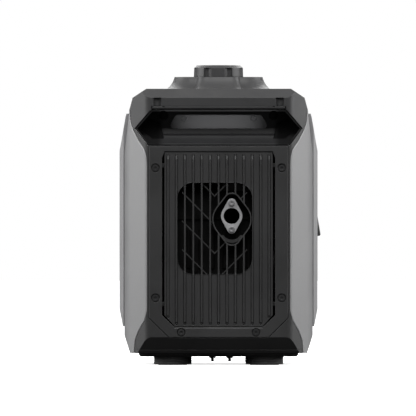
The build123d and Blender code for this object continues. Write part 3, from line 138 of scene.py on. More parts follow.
# ---- shader building -----------------------------------------------------------------------------
def feed(tree, socket, value):
    """Links a socket to another one, or sets it to a plain value."""
    if isinstance(value, bpy.types.NodeSocket):
        tree.links.new(value, socket)
    else:
        socket.default_value = value


def node(tree, kind, inputs=None, **settings):
    """A node with its settings made and its sockets set or linked."""
    made = tree.nodes.new(kind)
    for key, value in settings.items():
        setattr(made, key, value)
    for key, value in (inputs or {}).items():
        feed(tree, made.inputs[key], value)
    return made


def sums(tree, operation, *values, clamp=False):
    """One step of arithmetic on values or sockets."""
    return node(tree, "ShaderNodeMath", dict(enumerate(values)), operation=operation, use_clamp=clamp).outputs[0]


def spread(tree, value, low, high, to_low=0.0, to_high=1.0):
    """A value from low to high, spread over to_low to to_high with soft ends."""
    return node(
        tree, "ShaderNodeMapRange",
        {"Value": value, "From Min": low, "From Max": high, "To Min": to_low, "To Max": to_high},
        interpolation_type="SMOOTHSTEP").outputs["Result"]


def noise(tree, place, scale, detail=2.0, roughness=0.5):
    """Soft random value over a place."""
    inputs = {"Vector": place, "Scale": scale, "Detail": detail, "Roughness": roughness}
    return node(tree, "ShaderNodeTexNoise", inputs).outputs["Fac"]


def start_group(name, inputs, outputs):
    group = bpy.data.node_groups.new(name, "ShaderNodeTree")
    for label, kind, default in inputs:
        socket = group.interface.new_socket(name=label, in_out="INPUT", socket_type="NodeSocket" + kind)
        if default is not None:
            socket.default_value = default
    for label, kind in outputs:
        group.interface.new_socket(name=label, in_out="OUTPUT", socket_type="NodeSocket" + kind)
    return group, group.nodes.new("NodeGroupInput"), group.nodes.new("NodeGroupOutput")


def moulded_grain():
    """Fine leathery grain and slow mottling of moulded plastic."""
    group, given, out = start_group(
        "moulded grain", [("Place", "Vector", None), ("Grain Size", "Float", 0.0006)],
        [("Tone", "Float"), ("Height", "Float")])
    per_metre = sums(group, "DIVIDE", 1.0, given.outputs["Grain Size"])
    pits = node(
        group, "ShaderNodeTexVoronoi", {"Vector": given.outputs["Place"], "Scale": per_metre}, feature="SMOOTH_F1")
    slow = noise(group, given.outputs["Place"], 14.0, 4.0, 0.55)
    fine = noise(group, given.outputs["Place"], 420.0)
    mixed = sums(group, "MULTIPLY_ADD", fine, 0.35, sums(group, "MULTIPLY", slow, 0.65))
    group.links.new(mixed, out.inputs["Tone"])
    group.links.new(pits.outputs["Distance"], out.inputs["Height"])
    return group


def soft_edges():
    """Rounded edges for shading, a mask of the edges that hands and tools rub, and a plain edge mask, which moulded
    plastic uses for a painted edge highlight.
    """
    group, given, out = start_group(
        "soft edges", [("Place", "Vector", None), ("Radius", "Float", 0.001)],
        [("Normal", "Vector"), ("Rubbed", "Float"), ("Edge", "Float")])
    round_edge = node(group, "ShaderNodeBevel", {"Radius": given.outputs["Radius"]}, samples=6)
    flat = node(group, "ShaderNodeNewGeometry")
    turn = node(
        group, "ShaderNodeVectorMath", {0: round_edge.outputs[0], 1: flat.outputs["Normal"]}, operation="DOT_PRODUCT")
    edge = spread(group, turn.outputs["Value"], 0.985, 0.86)
    patches = noise(group, given.outputs["Place"], 55.0, 5.0, 0.7)
    wear_and_painted_light = sums(group, "MULTIPLY", edge, spread(group, patches, 0.4, 0.68))
    group.links.new(round_edge.outputs[0], out.inputs["Normal"])
    group.links.new(wear_and_painted_light, out.inputs["Rubbed"])
    group.links.new(edge, out.inputs["Edge"])
    return group


def settled_dust():
    """Thin dust on what faces up."""
    group, given, out = start_group(
        "settled dust", [("Place", "Vector", None), ("Amount", "Float", 0.2)], [("Mask", "Float")])
    up = node(group, "ShaderNodeSeparateXYZ", {0: node(group, "ShaderNodeNewGeometry").outputs["Normal"]})
    cloud = noise(group, given.outputs["Place"], 26.0, 7.0, 0.65)
    mask = sums(group, "MULTIPLY", spread(group, up.outputs["Z"], 0.25, 1.0), spread(group, cloud, 0.38, 0.72))
    group.links.new(sums(group, "MULTIPLY", mask, given.outputs["Amount"]), out.inputs["Mask"])
    return group


def cast_skin():
    """Sandy skin of a die casting."""
    group, given, out = start_group(
        "cast skin", [("Place", "Vector", None), ("Grain Size", "Float", 0.0012)],
        [("Tone", "Float"), ("Height", "Float")])
    per_metre = sums(group, "DIVIDE", 1.0, given.outputs["Grain Size"])
    sand = noise(group, given.outputs["Place"], per_metre, 3.0, 0.6)
    stain = noise(group, given.outputs["Place"], 32.0, 6.0, 0.6)
    group.links.new(stain, out.inputs["Tone"])
    group.links.new(sand, out.inputs["Height"])
    return group


def brushed_lines():
    """Fine lines left by grinding or turning, along the axis whose stretch is smallest."""
    group, given, out = start_group(
        "brushed lines", [("Place", "Vector", None), ("Stretch", "Vector", (60.0, 1400.0, 1400.0))],
        [("Tone", "Float"), ("Height", "Float")])
    along = node(
        group, "ShaderNodeVectorMath", {0: given.outputs["Place"], 1: given.outputs["Stretch"]}, operation="MULTIPLY")
    lines = noise(group, along.outputs[0], 1.0)
    smear = noise(group, given.outputs["Place"], 60.0, 4.0)
    tone = sums(group, "MULTIPLY_ADD", lines, 0.5, sums(group, "MULTIPLY", smear, 0.5))
    group.links.new(tone, out.inputs["Tone"])
    group.links.new(lines, out.inputs["Height"])
    return group


GROUPS = {}


def effect(tree, maker, inputs):
    """One of the shared effects, placed in a material with its own values."""
    if maker.__name__ not in GROUPS:
        GROUPS[maker.__name__] = maker()
    made = tree.nodes.new("ShaderNodeGroup")
    made.node_tree = GROUPS[maker.__name__]
    for key, value in inputs.items():
        feed(tree, made.inputs[key], value)
    return made


def rgba(value, by=1.0):
    """A colour with alpha, made lighter or darker."""
    return tuple(min(1.0, v * by) for v in value) + (1.0,)


def mix_colours(tree, share, first, second):
    made = node(tree, "ShaderNodeMix", data_type="RGBA")
    for key, value in (("Factor_Float", share), ("A_Color", first), ("B_Color", second)):
        feed(tree, next(s for s in made.inputs if s.identifier == key), value)
    return next(s for s in made.outputs if s.identifier == "Result_Color")


class Finish:
    """A material with a shader, Object coordinates, and its parts joined up at the end."""

    def __init__(self, name, metallic=0.0):
        self.material = bpy.data.materials.new(name)
        self.material.use_nodes = True
        self.tree = self.material.node_tree
        self.tree.nodes.clear()
        out = self.tree.nodes.new("ShaderNodeOutputMaterial")
        self.shader = node(self.tree, "ShaderNodeBsdfPrincipled", {"Metallic": metallic})
        self.tree.links.new(self.shader.outputs[0], out.inputs[0])
        self.place = self.tree.nodes.new("ShaderNodeTexCoord").outputs["Object"]

    def bump(self, height, distance, strength, normal=None):
        inputs = {"Height": height, "Distance": distance, "Strength": strength}
        if normal is not None:
            inputs["Normal"] = normal
        return node(self.tree, "ShaderNodeBump", inputs).outputs[0]

    def done(self, base, roughness, normal=None):
        for key, value in (("Base Color", base), ("Roughness", roughness), ("Normal", normal)):
            if value is not None:
                feed(self.tree, self.shader.inputs[key], value)
        return self.material


def moulded(name, tint, roughness, size, wear=0.35, dust=0.12, depth=0.12, specular=0.5, mottle=0.1, painted_edge_highlight=0.0):
    """Moulded plastic: grain, slow mottling, paler worn edges, thin dust on top and, where asked for, a painted
    highlight along the edges.
    """
    f = Finish(name)
    f.shader.inputs["Specular IOR Level"].default_value = specular
    grain = effect(f.tree, moulded_grain, {"Place": f.place, "Grain Size": size["grain"]})
    edge = effect(f.tree, soft_edges, {"Place": f.place, "Radius": size["edge"]})
    film = effect(f.tree, settled_dust, {"Place": f.place, "Amount": dust})
    tone = spread(f.tree, grain.outputs["Tone"], 0.36, 0.64)
    base = mix_colours(f.tree, tone, rgba(tint, 1.0 - mottle), rgba(tint, 1.0 + mottle))
    paler = rgba([min(1.0, v * 1.25 + 0.012) for v in tint])
    base = mix_colours(f.tree, sums(f.tree, "MULTIPLY", edge.outputs["Rubbed"], wear), base, paler)
    # painted highlight: a paler band, 2.1 times the tint, along the edges, standing in for light caught on their
    # rounding
    base = mix_colours(f.tree, sums(f.tree, "MULTIPLY", edge.outputs["Edge"], painted_edge_highlight), base, rgba(tint, 2.1))
    base = mix_colours(f.tree, film.outputs["Mask"], base, DUST)
    gloss = sums(f.tree, "MULTIPLY_ADD", tone, 0.08, roughness - 0.04)
    gloss = sums(f.tree, "MULTIPLY_ADD", edge.outputs["Rubbed"], -0.12, gloss, clamp=True)
    gloss = sums(f.tree, "MULTIPLY_ADD", film.outputs["Mask"], 0.3, gloss, clamp=True)
    return f.done(base, gloss, f.bump(grain.outputs["Height"], size["grain"] * 0.2, depth, edge.outputs["Normal"]))


def recess_with_painted_light(name, tint, size):
    """Moulded plastic of a hand recess, with painted light on the back wall of the finger wells and painted shade at
    the recess's sides.
    """
    f = Finish(name)
    f.shader.inputs["Specular IOR Level"].default_value = 0.22
    grain = effect(f.tree, moulded_grain, {"Place": f.place, "Grain Size": size["grain"]})
    edge = effect(f.tree, soft_edges, {"Place": f.place, "Radius": size["edge"]})
    tone = spread(f.tree, grain.outputs["Tone"], 0.36, 0.64)
    base = mix_colours(f.tree, tone, rgba(tint, 0.9), rgba(tint, 1.1))
    apart = node(f.tree, "ShaderNodeSeparateXYZ", {0: f.place})
    # painted light: the middle of the back wall of each finger well is made 3.2 times paler, standing in for light that
    # hardly reaches it
    deep = spread(f.tree, sums(f.tree, "ABSOLUTE", apart.outputs["Y"]), WELL_WALL + 0.006, WELL_WALL + 0.0005)
    middle = spread(f.tree, sums(f.tree, "ABSOLUTE", apart.outputs["X"]), 0.08, 0.06)
    wear_and_painted_light = sums(f.tree, "MULTIPLY", deep, middle)
    base = mix_colours(f.tree, wear_and_painted_light, base, rgba(tint, 3.2))
    # painted shade: the recess beyond 0.08 m from the middle is darkened to 0.18 of its tint and made rougher, standing
    # in for the shade at its sides
    painted_side_shade = spread(f.tree, sums(f.tree, "ABSOLUTE", apart.outputs["X"]), 0.08, 0.092)
    base = mix_colours(f.tree, painted_side_shade, base, rgba(tint, 0.18))
    base = mix_colours(f.tree, sums(f.tree, "MULTIPLY", edge.outputs["Rubbed"], 0.35), base, rgba(tint, 1.8))
    gloss = sums(f.tree, "MULTIPLY_ADD", painted_side_shade, 0.35, 0.52)
    return f.done(base, gloss, f.bump(grain.outputs["Height"], size["grain"] * 0.2, 0.12, edge.outputs["Normal"]))


def rubber(name, tint, size):
    """Rubber: matt, faintly mottled, paler where it scuffs."""
    f = Finish(name)
    grain = effect(f.tree, moulded_grain, {"Place": f.place, "Grain Size": size["grain"] * 1.6})
    edge = effect(f.tree, soft_edges, {"Place": f.place, "Radius": size["edge"]})
    base = mix_colours(f.tree, spread(f.tree, grain.outputs["Tone"], 0.35, 0.65), rgba(tint, 0.8), rgba(tint, 1.35))
    scuffed = sums(f.tree, "MULTIPLY", edge.outputs["Rubbed"], 0.5)
    base = mix_colours(f.tree, scuffed, base, rgba([v * 2.2 + 0.01 for v in tint]))
    gloss = sums(f.tree, "MULTIPLY_ADD", grain.outputs["Tone"], 0.2, 0.5)
    return f.done(base, gloss, f.bump(grain.outputs["Height"], 0.0002, 0.2, edge.outputs["Normal"]))


def cast(name, tint, size, roughness=0.5):
    """Cast metal: sandy skin, random stains, brighter worn edges and thin dust on top."""
    f = Finish(name, metallic=0.85)
    skin = effect(f.tree, cast_skin, {"Place": f.place, "Grain Size": size["cast"]})
    edge = effect(f.tree, soft_edges, {"Place": f.place, "Radius": size["metal_edge"]})
    film = effect(f.tree, settled_dust, {"Place": f.place, "Amount": 0.25})
    tone = spread(f.tree, skin.outputs["Tone"], 0.34, 0.66)
    base = mix_colours(f.tree, tone, rgba(tint, 0.72), rgba(tint, 1.08))
    base = mix_colours(f.tree, edge.outputs["Rubbed"], base, rgba(tint, 1.3))
    base = mix_colours(f.tree, film.outputs["Mask"], base, (0.15, 0.13, 0.11, 1.0))
    gloss = sums(f.tree, "MULTIPLY_ADD", tone, -0.14, roughness + 0.07)
    return f.done(base, gloss, f.bump(skin.outputs["Height"], 0.0003, 0.35, edge.outputs["Normal"]))


def brushed(name, tint, size, stretch=(60.0, 1400.0, 1400.0), roughness=0.32, metallic=1.0):
    """Ground, turned or plated steel with fine lines."""
    f = Finish(name, metallic=metallic)
    lines = effect(f.tree, brushed_lines, {"Place": f.place, "Stretch": stretch})
    edge = effect(f.tree, soft_edges, {"Place": f.place, "Radius": size["metal_edge"]})
    tone = spread(f.tree, lines.outputs["Tone"], 0.3, 0.7)
    base = mix_colours(f.tree, tone, rgba(tint, 0.86), rgba(tint, 1.12))
    base = mix_colours(f.tree, edge.outputs["Rubbed"], base, rgba(tint, 1.35))
    gloss = sums(f.tree, "MULTIPLY_ADD", tone, 0.16, roughness - 0.08)
    return f.done(base, gloss, f.bump(lines.outputs["Height"], 0.00006, 0.3, edge.outputs["Normal"]))


def enamel(name, tint, size, roughness=0.42, metallic=0.0, chips=(0.3, 0.29, 0.28, 1.0), specular=0.5):
    """Paint on sheet metal: slight orange peel, worn through at the edges."""
    f = Finish(name, metallic=metallic)
    f.shader.inputs["Specular IOR Level"].default_value = specular
    skin = effect(f.tree, cast_skin, {"Place": f.place, "Grain Size": 0.0022})
    edge = effect(f.tree, soft_edges, {"Place": f.place, "Radius": size["metal_edge"] * 1.5})
    film = effect(f.tree, settled_dust, {"Place": f.place, "Amount": 0.2})
    base = mix_colours(f.tree, spread(f.tree, skin.outputs["Tone"], 0.35, 0.65), rgba(tint, 0.85), rgba(tint, 1.18))
    base = mix_colours(f.tree, sums(f.tree, "MULTIPLY", edge.outputs["Rubbed"], 0.4), base, chips)
    base = mix_colours(f.tree, film.outputs["Mask"], base, DUST)
    gloss = sums(f.tree, "MULTIPLY_ADD", skin.outputs["Tone"], 0.16, roughness - 0.08)
    return f.done(base, gloss, f.bump(skin.outputs["Height"], 0.0001, 0.25, edge.outputs["Normal"]))


def windings(name, tint):
    """Enamelled copper wire, wound in close turns."""
    f = Finish(name, metallic=0.9)
    apart = node(f.tree, "ShaderNodeSeparateXYZ", {0: f.place})
    turn = sums(f.tree, "SINE", sums(f.tree, "MULTIPLY", apart.outputs["X"], WIRE_TURNS))
    skin = effect(f.tree, cast_skin, {"Place": f.place, "Grain Size": 0.003})
    base = mix_colours(f.tree, spread(f.tree, turn, -0.9, 0.4), rgba(tint, 0.35), rgba(tint, 1.1))
    base = mix_colours(f.tree, spread(f.tree, skin.outputs["Tone"], 0.45, 0.7), base, rgba(tint, 0.7))
    return f.done(base, 0.34, f.bump(turn, 0.0003, 0.6))


def open_foam(name, tint):
    """Open-cell foam: small dark pores."""
    f = Finish(name)
    pores = node(f.tree, "ShaderNodeTexVoronoi", {"Vector": f.place, "Scale": 620.0}, feature="F1")
    depth = spread(f.tree, pores.outputs["Distance"], 0.1, 0.62)
    slow = effect(f.tree, moulded_grain, {"Place": f.place, "Grain Size": 0.004})
    base = mix_colours(f.tree, depth, rgba(tint, 0.25), rgba(tint, 1.25))
    base = mix_colours(f.tree, spread(f.tree, slow.outputs["Tone"], 0.4, 0.6), base, rgba(tint, 0.8))
    return f.done(base, 0.95, f.bump(depth, 0.0009, 0.9))


def gauze(name, tint):
    """Fine woven strainer gauze."""
    f = Finish(name)
    apart = node(f.tree, "ShaderNodeSeparateXYZ", {0: f.place})
    rise = sums(f.tree, "SINE", sums(f.tree, "MULTIPLY", apart.outputs["Z"], GAUZE_ROWS))
    around = sums(f.tree, "ARCTAN2", apart.outputs["Y"], apart.outputs["X"])
    across = sums(f.tree, "SINE", sums(f.tree, "MULTIPLY", around, GAUZE_WIRES))
    weave = sums(f.tree, "MAXIMUM", rise, across)
    base = mix_colours(f.tree, spread(f.tree, weave, 0.0, 0.9), rgba(tint, 0.4), rgba(tint, 1.15))
    return f.done(base, 0.55, f.bump(weave, 0.0002, 0.6))


def braid(name, tint):
    """Braided cover of the starter rope, running along X and up Z."""
    f = Finish(name)
    apart = node(f.tree, "ShaderNodeSeparateXYZ", {0: f.place})
    along = sums(f.tree, "ADD", apart.outputs["X"], apart.outputs["Z"])
    lift = sums(f.tree, "SUBTRACT", apart.outputs["Z"], ROPE_Z)
    turn = sums(f.tree, "ARCTAN2", lift, sums(f.tree, "SUBTRACT", apart.outputs["Y"], ROPE_Y))
    strands = []
    for lean in (3.0, -3.0):
        wound = sums(f.tree, "MULTIPLY_ADD", along, BRAID_STRANDS, sums(f.tree, "MULTIPLY", turn, lean))
        strands.append(sums(f.tree, "SINE", wound))
    strand = sums(f.tree, "MAXIMUM", *strands)
    fleck = noise(f.tree, f.place, 900.0, 3.0)
    base = mix_colours(f.tree, spread(f.tree, strand, -0.2, 0.9), rgba(tint, 0.4), rgba(tint, 1.6))
    base = mix_colours(f.tree, spread(f.tree, fleck, 0.6, 0.75), base, rgba(tint, 4.0))
    return f.done(base, 0.8, f.bump(strand, 0.0005, 0.7))


def smoked_window(name):
    """Glossy dark window with three round lamps behind it."""
    f = Finish(name)
    f.shader.inputs["Coat Weight"].default_value = 0.6
    low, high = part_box("status_display")
    middle = (low + high) / 2
    base = (0.012, 0.014, 0.016, 1.0)
    for step, lamp in ((-LAMP_PITCH, RED), (0.0, AMBER), (LAMP_PITCH, GREEN)):
        spot = (middle.x + step, high.y, middle.z)
        away = node(f.tree, "ShaderNodeVectorMath", {0: f.place, 1: spot}, operation="DISTANCE")
        disc = spread(f.tree, away.outputs["Value"], 0.0032, 0.0026)
        ring = spread(f.tree, away.outputs["Value"], 0.0046, 0.0042)
        base = mix_colours(f.tree, ring, base, (0.1, 0.1, 0.1, 1.0))
        base = mix_colours(f.tree, disc, base, lamp)
    smear = noise(f.tree, f.place, 60.0, 5.0)
    gloss = spread(f.tree, smear, 0.4, 0.7, 0.1, 0.24)
    return f.done(base, gloss)


def heat_tint(name, tint):
    """Steel pipe, blued and browned by heat towards the engine."""
    f = Finish(name, metallic=1.0)
    lines = effect(f.tree, brushed_lines, {"Place": f.place, "Stretch": (900.0, 900.0, 900.0)})
    apart = node(f.tree, "ShaderNodeSeparateXYZ", {0: f.place})
    low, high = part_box("exhaust_pipe")
    near = spread(f.tree, sums(f.tree, "MULTIPLY_ADD", lines.outputs["Tone"], 0.03, apart.outputs["Y"]), low.y, high.y)
    base = mix_colours(f.tree, near, rgba(tint, 1.0), (0.2, 0.12, 0.08, 1.0))
    base = mix_colours(f.tree, spread(f.tree, near, 0.5, 0.9), base, (0.1, 0.1, 0.16, 1.0))
    return f.done(base, spread(f.tree, lines.outputs["Tone"], 0.3, 0.7, 0.3, 0.5))


FINISHES = {}


def finish(slot):
    """The material for one of the part's finish slots, made once."""
    if slot not in FINISHES:
        sizes, hue = bpy.context.scene.generator_sizes, bpy.context.scene.generator_colours
        size = {"grain": sizes.grain, "edge": sizes.soft_edge, "metal_edge": sizes.metal_edge, "cast": sizes.cast_grain}
        wide = dict(size, edge=sizes.panel_edge)
        makers = {
            "black_plastic": lambda: moulded(slot, hue.black, 0.5, size),
            "frame_plastic": lambda: moulded(slot, hue.black, 0.5, size),
            "grille_plastic": lambda: moulded(slot, hue.black, 0.52, size),
            "recess_plastic": lambda: recess_with_painted_light(slot, hue.recess_black, size),
            "grip_plastic": lambda: moulded(slot, hue.top_black, 0.45, size, dust=0.02),
            "top_plastic": lambda: moulded(slot, hue.top_black, 0.5, size, dust=0.07),
            "panel_plastic": lambda: moulded(slot, hue.black, 0.4, size),
            "cap_plastic": lambda: moulded(slot, hue.top_black, 0.45, size, wear=0.5),
            "cap_insert_plastic": lambda: moulded(slot, (0.05, 0.05, 0.052), 0.4, size),
            # the grey side panels and plates carry a painted edge highlight
            "grey_plastic": lambda: moulded(
                slot, hue.panel_grey, 0.42, wide, wear=0.2, dust=0.06, mottle=0.035, painted_edge_highlight=0.8),
            "grey_plate": lambda: moulded(slot, hue.plate_grey, 0.4, size, wear=0.2, dust=0.06, mottle=0.035, painted_edge_highlight=0.3),
            "airbox_plastic": lambda: moulded(slot, hue.black, 0.5, size),
            "shroud_plastic": lambda: moulded(slot, (0.035, 0.035, 0.036), 0.5, size),
            "fan_plastic": lambda: moulded(slot, (0.03, 0.03, 0.032), 0.4, size),
            "pulley_plastic": lambda: moulded(slot, (0.12, 0.12, 0.12), 0.4, size),
            "outlet_plastic": lambda: moulded(slot, (0.1, 0.1, 0.1), 0.38, size),
            "flap_plastic": lambda: moulded(slot, hue.top_black, 0.42, size),
            "dial_plastic": lambda: moulded(slot, hue.top_black, 0.3, size, wear=0.6),
            "rocker_plastic": lambda: moulded(slot, hue.black, 0.28, size, wear=0.6),
            "button_plastic": lambda: moulded(slot, hue.button_red, 0.3, size),
            "dipstick_plastic": lambda: moulded(slot, hue.dipstick, 0.35, size),
            # painted light: the feet take the rubber at twice its tone, standing in for light that the tray's overhang
            # keeps off them
            "foot_rubber": lambda: rubber(slot, [v * 2.0 for v in hue.rubber], size),
            "drain_rubber": lambda: rubber(slot, hue.rubber, size),
            "mount_rubber": lambda: rubber(slot, hue.rubber, size),
            "grip_rubber": lambda: rubber(slot, [v * 1.3 for v in hue.rubber], size),
            "zinc_steel": lambda: brushed(slot, hue.zinc, size, roughness=0.38),
            "black_screws": lambda: brushed(slot, (0.035, 0.035, 0.036), size, roughness=0.4, metallic=0.4),
            "bearing_steel": lambda: brushed(slot, (0.5, 0.5, 0.52), size, roughness=0.22),
            "ground_steel": lambda: brushed(slot, (0.46, 0.46, 0.48), size, roughness=0.25),
            "plug_steel": lambda: brushed(slot, (0.5, 0.5, 0.5), size, roughness=0.3),
            "rotor_steel": lambda: brushed(slot, (0.3, 0.3, 0.31), size, roughness=0.4),
            "flange_steel": lambda: cast(slot, hue.bright_steel, size, roughness=0.55),
            "cast_aluminium": lambda: cast(slot, hue.aluminium, size),
            "piston_aluminium": lambda: brushed(slot, (0.55, 0.55, 0.56), size, stretch=(1400.0, 60.0, 1400.0)),
            "inverter_aluminium": lambda: cast(slot, (0.42, 0.42, 0.43), size),
            "carburettor_zinc": lambda: cast(slot, (0.38, 0.38, 0.38), size, roughness=0.42),
            "tank_enamel": lambda: enamel(slot, (0.04, 0.04, 0.042), size),
            "muffler_steel": lambda: enamel(
                slot, hue.exhaust_black, size, roughness=0.8, chips=(0.03, 0.018, 0.012, 1.0), specular=0.12),
            "painted_cover": lambda: enamel(slot, (0.05, 0.05, 0.052), size),
            "starter_enamel": lambda: enamel(slot, (0.03, 0.03, 0.031), size),
            "pipe_steel": lambda: heat_tint(slot, (0.28, 0.25, 0.22)),
            "copper_winding": lambda: windings(slot, hue.copper),
            "filter_foam": lambda: open_foam(slot, hue.foam),
            "strainer_plastic": lambda: gauze(slot, (0.35, 0.33, 0.26)),
            "rope_fabric": lambda: braid(slot, (0.03, 0.03, 0.03)),
            "display_glass": lambda: smoked_window(slot),
        }
        if slot not in makers:
            raise RuntimeError(f"no finish is described for {slot}")
        FINISHES[slot] = makers[slot]()
    return FINISHES[slot]


# ---- handling of pieces --------------------------------------------------------------------------
def clear_selection():
    if bpy.context.object and bpy.context.object.mode != "OBJECT":
        bpy.ops.object.mode_set(mode="OBJECT")
    bpy.ops.object.select_all(action="DESELECT")


def take_up(piece):
    """Only this piece is selected and active."""
    clear_selection()
    piece.select_set(True)
    bpy.context.view_layer.objects.active = piece


def edit(piece, kind="FACE"):
    take_up(piece)
    bpy.ops.object.mode_set(mode="EDIT")
    bpy.ops.mesh.select_mode(type=kind)
    bpy.ops.mesh.select_all(action="DESELECT")


def pick_faces(piece, wanted):
    """In edit mode, selects the faces whose middle and normal are wanted."""
    mesh = bmesh.from_edit_mesh(piece.data)
    count = 0
    for face in mesh.faces:
        chosen = bool(wanted(face.calc_center_median(), face.normal))
        face.select_set(chosen)
        count += chosen
    mesh.select_flush_mode()
    bmesh.update_edit_mesh(piece.data)
    if not count:
        raise RuntimeError(f"{piece.name}: no face was found to work on")


def pick_edges(piece, wanted):
    """In edit mode, selects the edges whose middle and direction are wanted."""
    mesh = bmesh.from_edit_mesh(piece.data)
    count = 0
    for edge in mesh.edges:
        first, second = (point.co for point in edge.verts)
        chosen = bool(wanted((first + second) / 2, second - first))
        edge.select_set(chosen)
        count += chosen
    bmesh.update_edit_mesh(piece.data)
    if not count:
        raise RuntimeError(f"{piece.name}: no edge was found to work on")


def pick_points(piece, wanted):
    """In edit mode, selects the points that are wanted."""
    mesh = bmesh.from_edit_mesh(piece.data)
    for point in mesh.verts:
        point.select_set(bool(wanted(point.co)))
    mesh.select_flush_mode()
    bmesh.update_edit_mesh(piece.data)


def set_down(piece, name, body, slot, replaces=(), angle=32.0):
    """Places the piece's shape in its mesh, gives it its finish and lets it ride on its body."""
    take_up(piece)
    bpy.ops.object.transform_apply(location=True, rotation=True, scale=True)
    bpy.ops.object.shade_smooth_by_angle(angle=math.radians(angle))
    piece.name = piece.data.name = name
    piece.data.materials.clear()
    piece.data.materials.append(finish(slot))
    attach(piece, body)
    if replaces:
        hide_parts(*replaces)
    clear_selection()
    return piece


def dress(*names):
    """CAD nodes whose shape is kept take the finish of their slot."""
    for name in names:
        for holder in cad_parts[name].material_slots:
            holder.material = finish(holder.material.name.split(".")[0])


class PieceOperator(bpy.types.Operator):
    bl_options = {"REGISTER", "UNDO"}

    def execute(self, context):
        self.make(context.scene.generator_sizes, context.scene.generator_colours)
        return {"FINISHED"}


# ---- casing --------------------------------------------------------------------------------------
class GENERATOR_OT_casing(PieceOperator):
    """Side panels, outer plate, service door, tray, end covers, top cover"""

    bl_idname = "generator.casing"
    bl_label = "Casing"

    def make(self, sizes, hue):
        dress("base_tray", "left_side_panel", "right_side_panel", "right_outer_plate", "service_door",
              "door_hinge_pins", "exhaust_end_cover", "control_end_cover", "top_cover", "drain_spouts")


class GENERATOR_OT_exhaust_end(PieceOperator):
    """Screwed frame and ribbed grille of the exhaust end"""

    bl_idname = "generator.exhaust_end"
    bl_label = "Exhaust End"

    def make(self, sizes, hue):
        dress("exhaust_end_frame", "exhaust_grille", "cover_screws", "outlet_flange", "outlet_screws", "muffler",
              "exhaust_pipe")


class GENERATOR_OT_handles(PieceOperator):
    """Hand recesses and handle grips at both ends"""

    bl_idname = "generator.handles"
    bl_label = "Handles"

    def make(self, sizes, hue):
        dress("handle_pockets", "handle_grips")


class GENERATOR_OT_feet(PieceOperator):
    """Four rubber feet, each with a rounded base and a pad under it"""

    bl_idname = "generator.feet"
    bl_label = "Feet"

    def make(self, sizes, hue):
        low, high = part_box("feet")
        base, top = low.z + sizes.foot_pad, high.z
        clear_selection()
        bpy.ops.mesh.primitive_cylinder_add(
            vertices=72, radius=FOOT_RADIUS, depth=top - base, location=(0, 0, (base + top) / 2))
        foot = bpy.context.object
        bpy.ops.object.transform_apply(location=True, rotation=False, scale=False)
        edit(foot, "EDGE")
        # rounded base
        pick_edges(foot, lambda c, d: c.z < base + 1e-5 and math.hypot(c.x, c.y) > FOOT_RADIUS * 0.98)
        bpy.ops.mesh.bevel(offset=FOOT_ROUNDING, segments=3)
        # two fine grooves round the side
        rings = [base + (top - base) * share for share in GROOVE_HEIGHTS]
        for ring in rings:
            for side in (-GROOVE_HALF_WIDTH, GROOVE_HALF_WIDTH):
                bpy.ops.mesh.select_all(action="SELECT")
                bpy.ops.mesh.bisect(plane_co=(0, 0, ring + side), plane_no=(0, 0, 1))
        bpy.ops.mesh.select_mode(type="FACE")
        pick_faces(foot, lambda c, n: abs(n.z) < 0.1 and any(abs(c.z - r) < 0.0003 for r in rings))
        bpy.ops.mesh.extrude_region_shrink_fatten(TRANSFORM_OT_shrink_fatten={"value": -GROOVE_DEPTH})
        # pad and bolt well under the foot
        pick_faces(foot, lambda c, n: n.z < -0.9 and c.z < base + 1e-5 and math.hypot(c.x, c.y) < 0.004)
        bpy.ops.mesh.inset(thickness=PAD_SETBACK)
        bpy.ops.mesh.extrude_region_move(TRANSFORM_OT_translate={"value": (0, 0, -sizes.foot_pad)})
        bpy.ops.mesh.inset(thickness=PAD_WIDTH)
        bpy.ops.mesh.extrude_region_move(TRANSFORM_OT_translate={"value": (0, 0, BOLT_WELL)})
        clear_selection()
        for number, (x, y) in enumerate(FOOT_SPOTS, 1):
            copy = foot.copy()
            copy.data = foot.data.copy()
            bpy.context.scene.collection.objects.link(copy)
            copy.location = (x, y, 0)
            set_down(copy, f"foot_{number}", "housing", "foot_rubber", ["feet"])
        bpy.data.objects.remove(foot)
        dress("foot_bolts")


class GENERATOR_OT_fuel_cap(PieceOperator):
    """Fuel cap, its insert, neck, strainer and tank"""

    bl_idname = "generator.fuel_cap"
    bl_label = "Fuel Cap and Tank"

    def make(self, sizes, hue):
        dress("fuel_cap", "fuel_cap_insert", "filler_neck", "fuel_strainer", "fuel_tank")


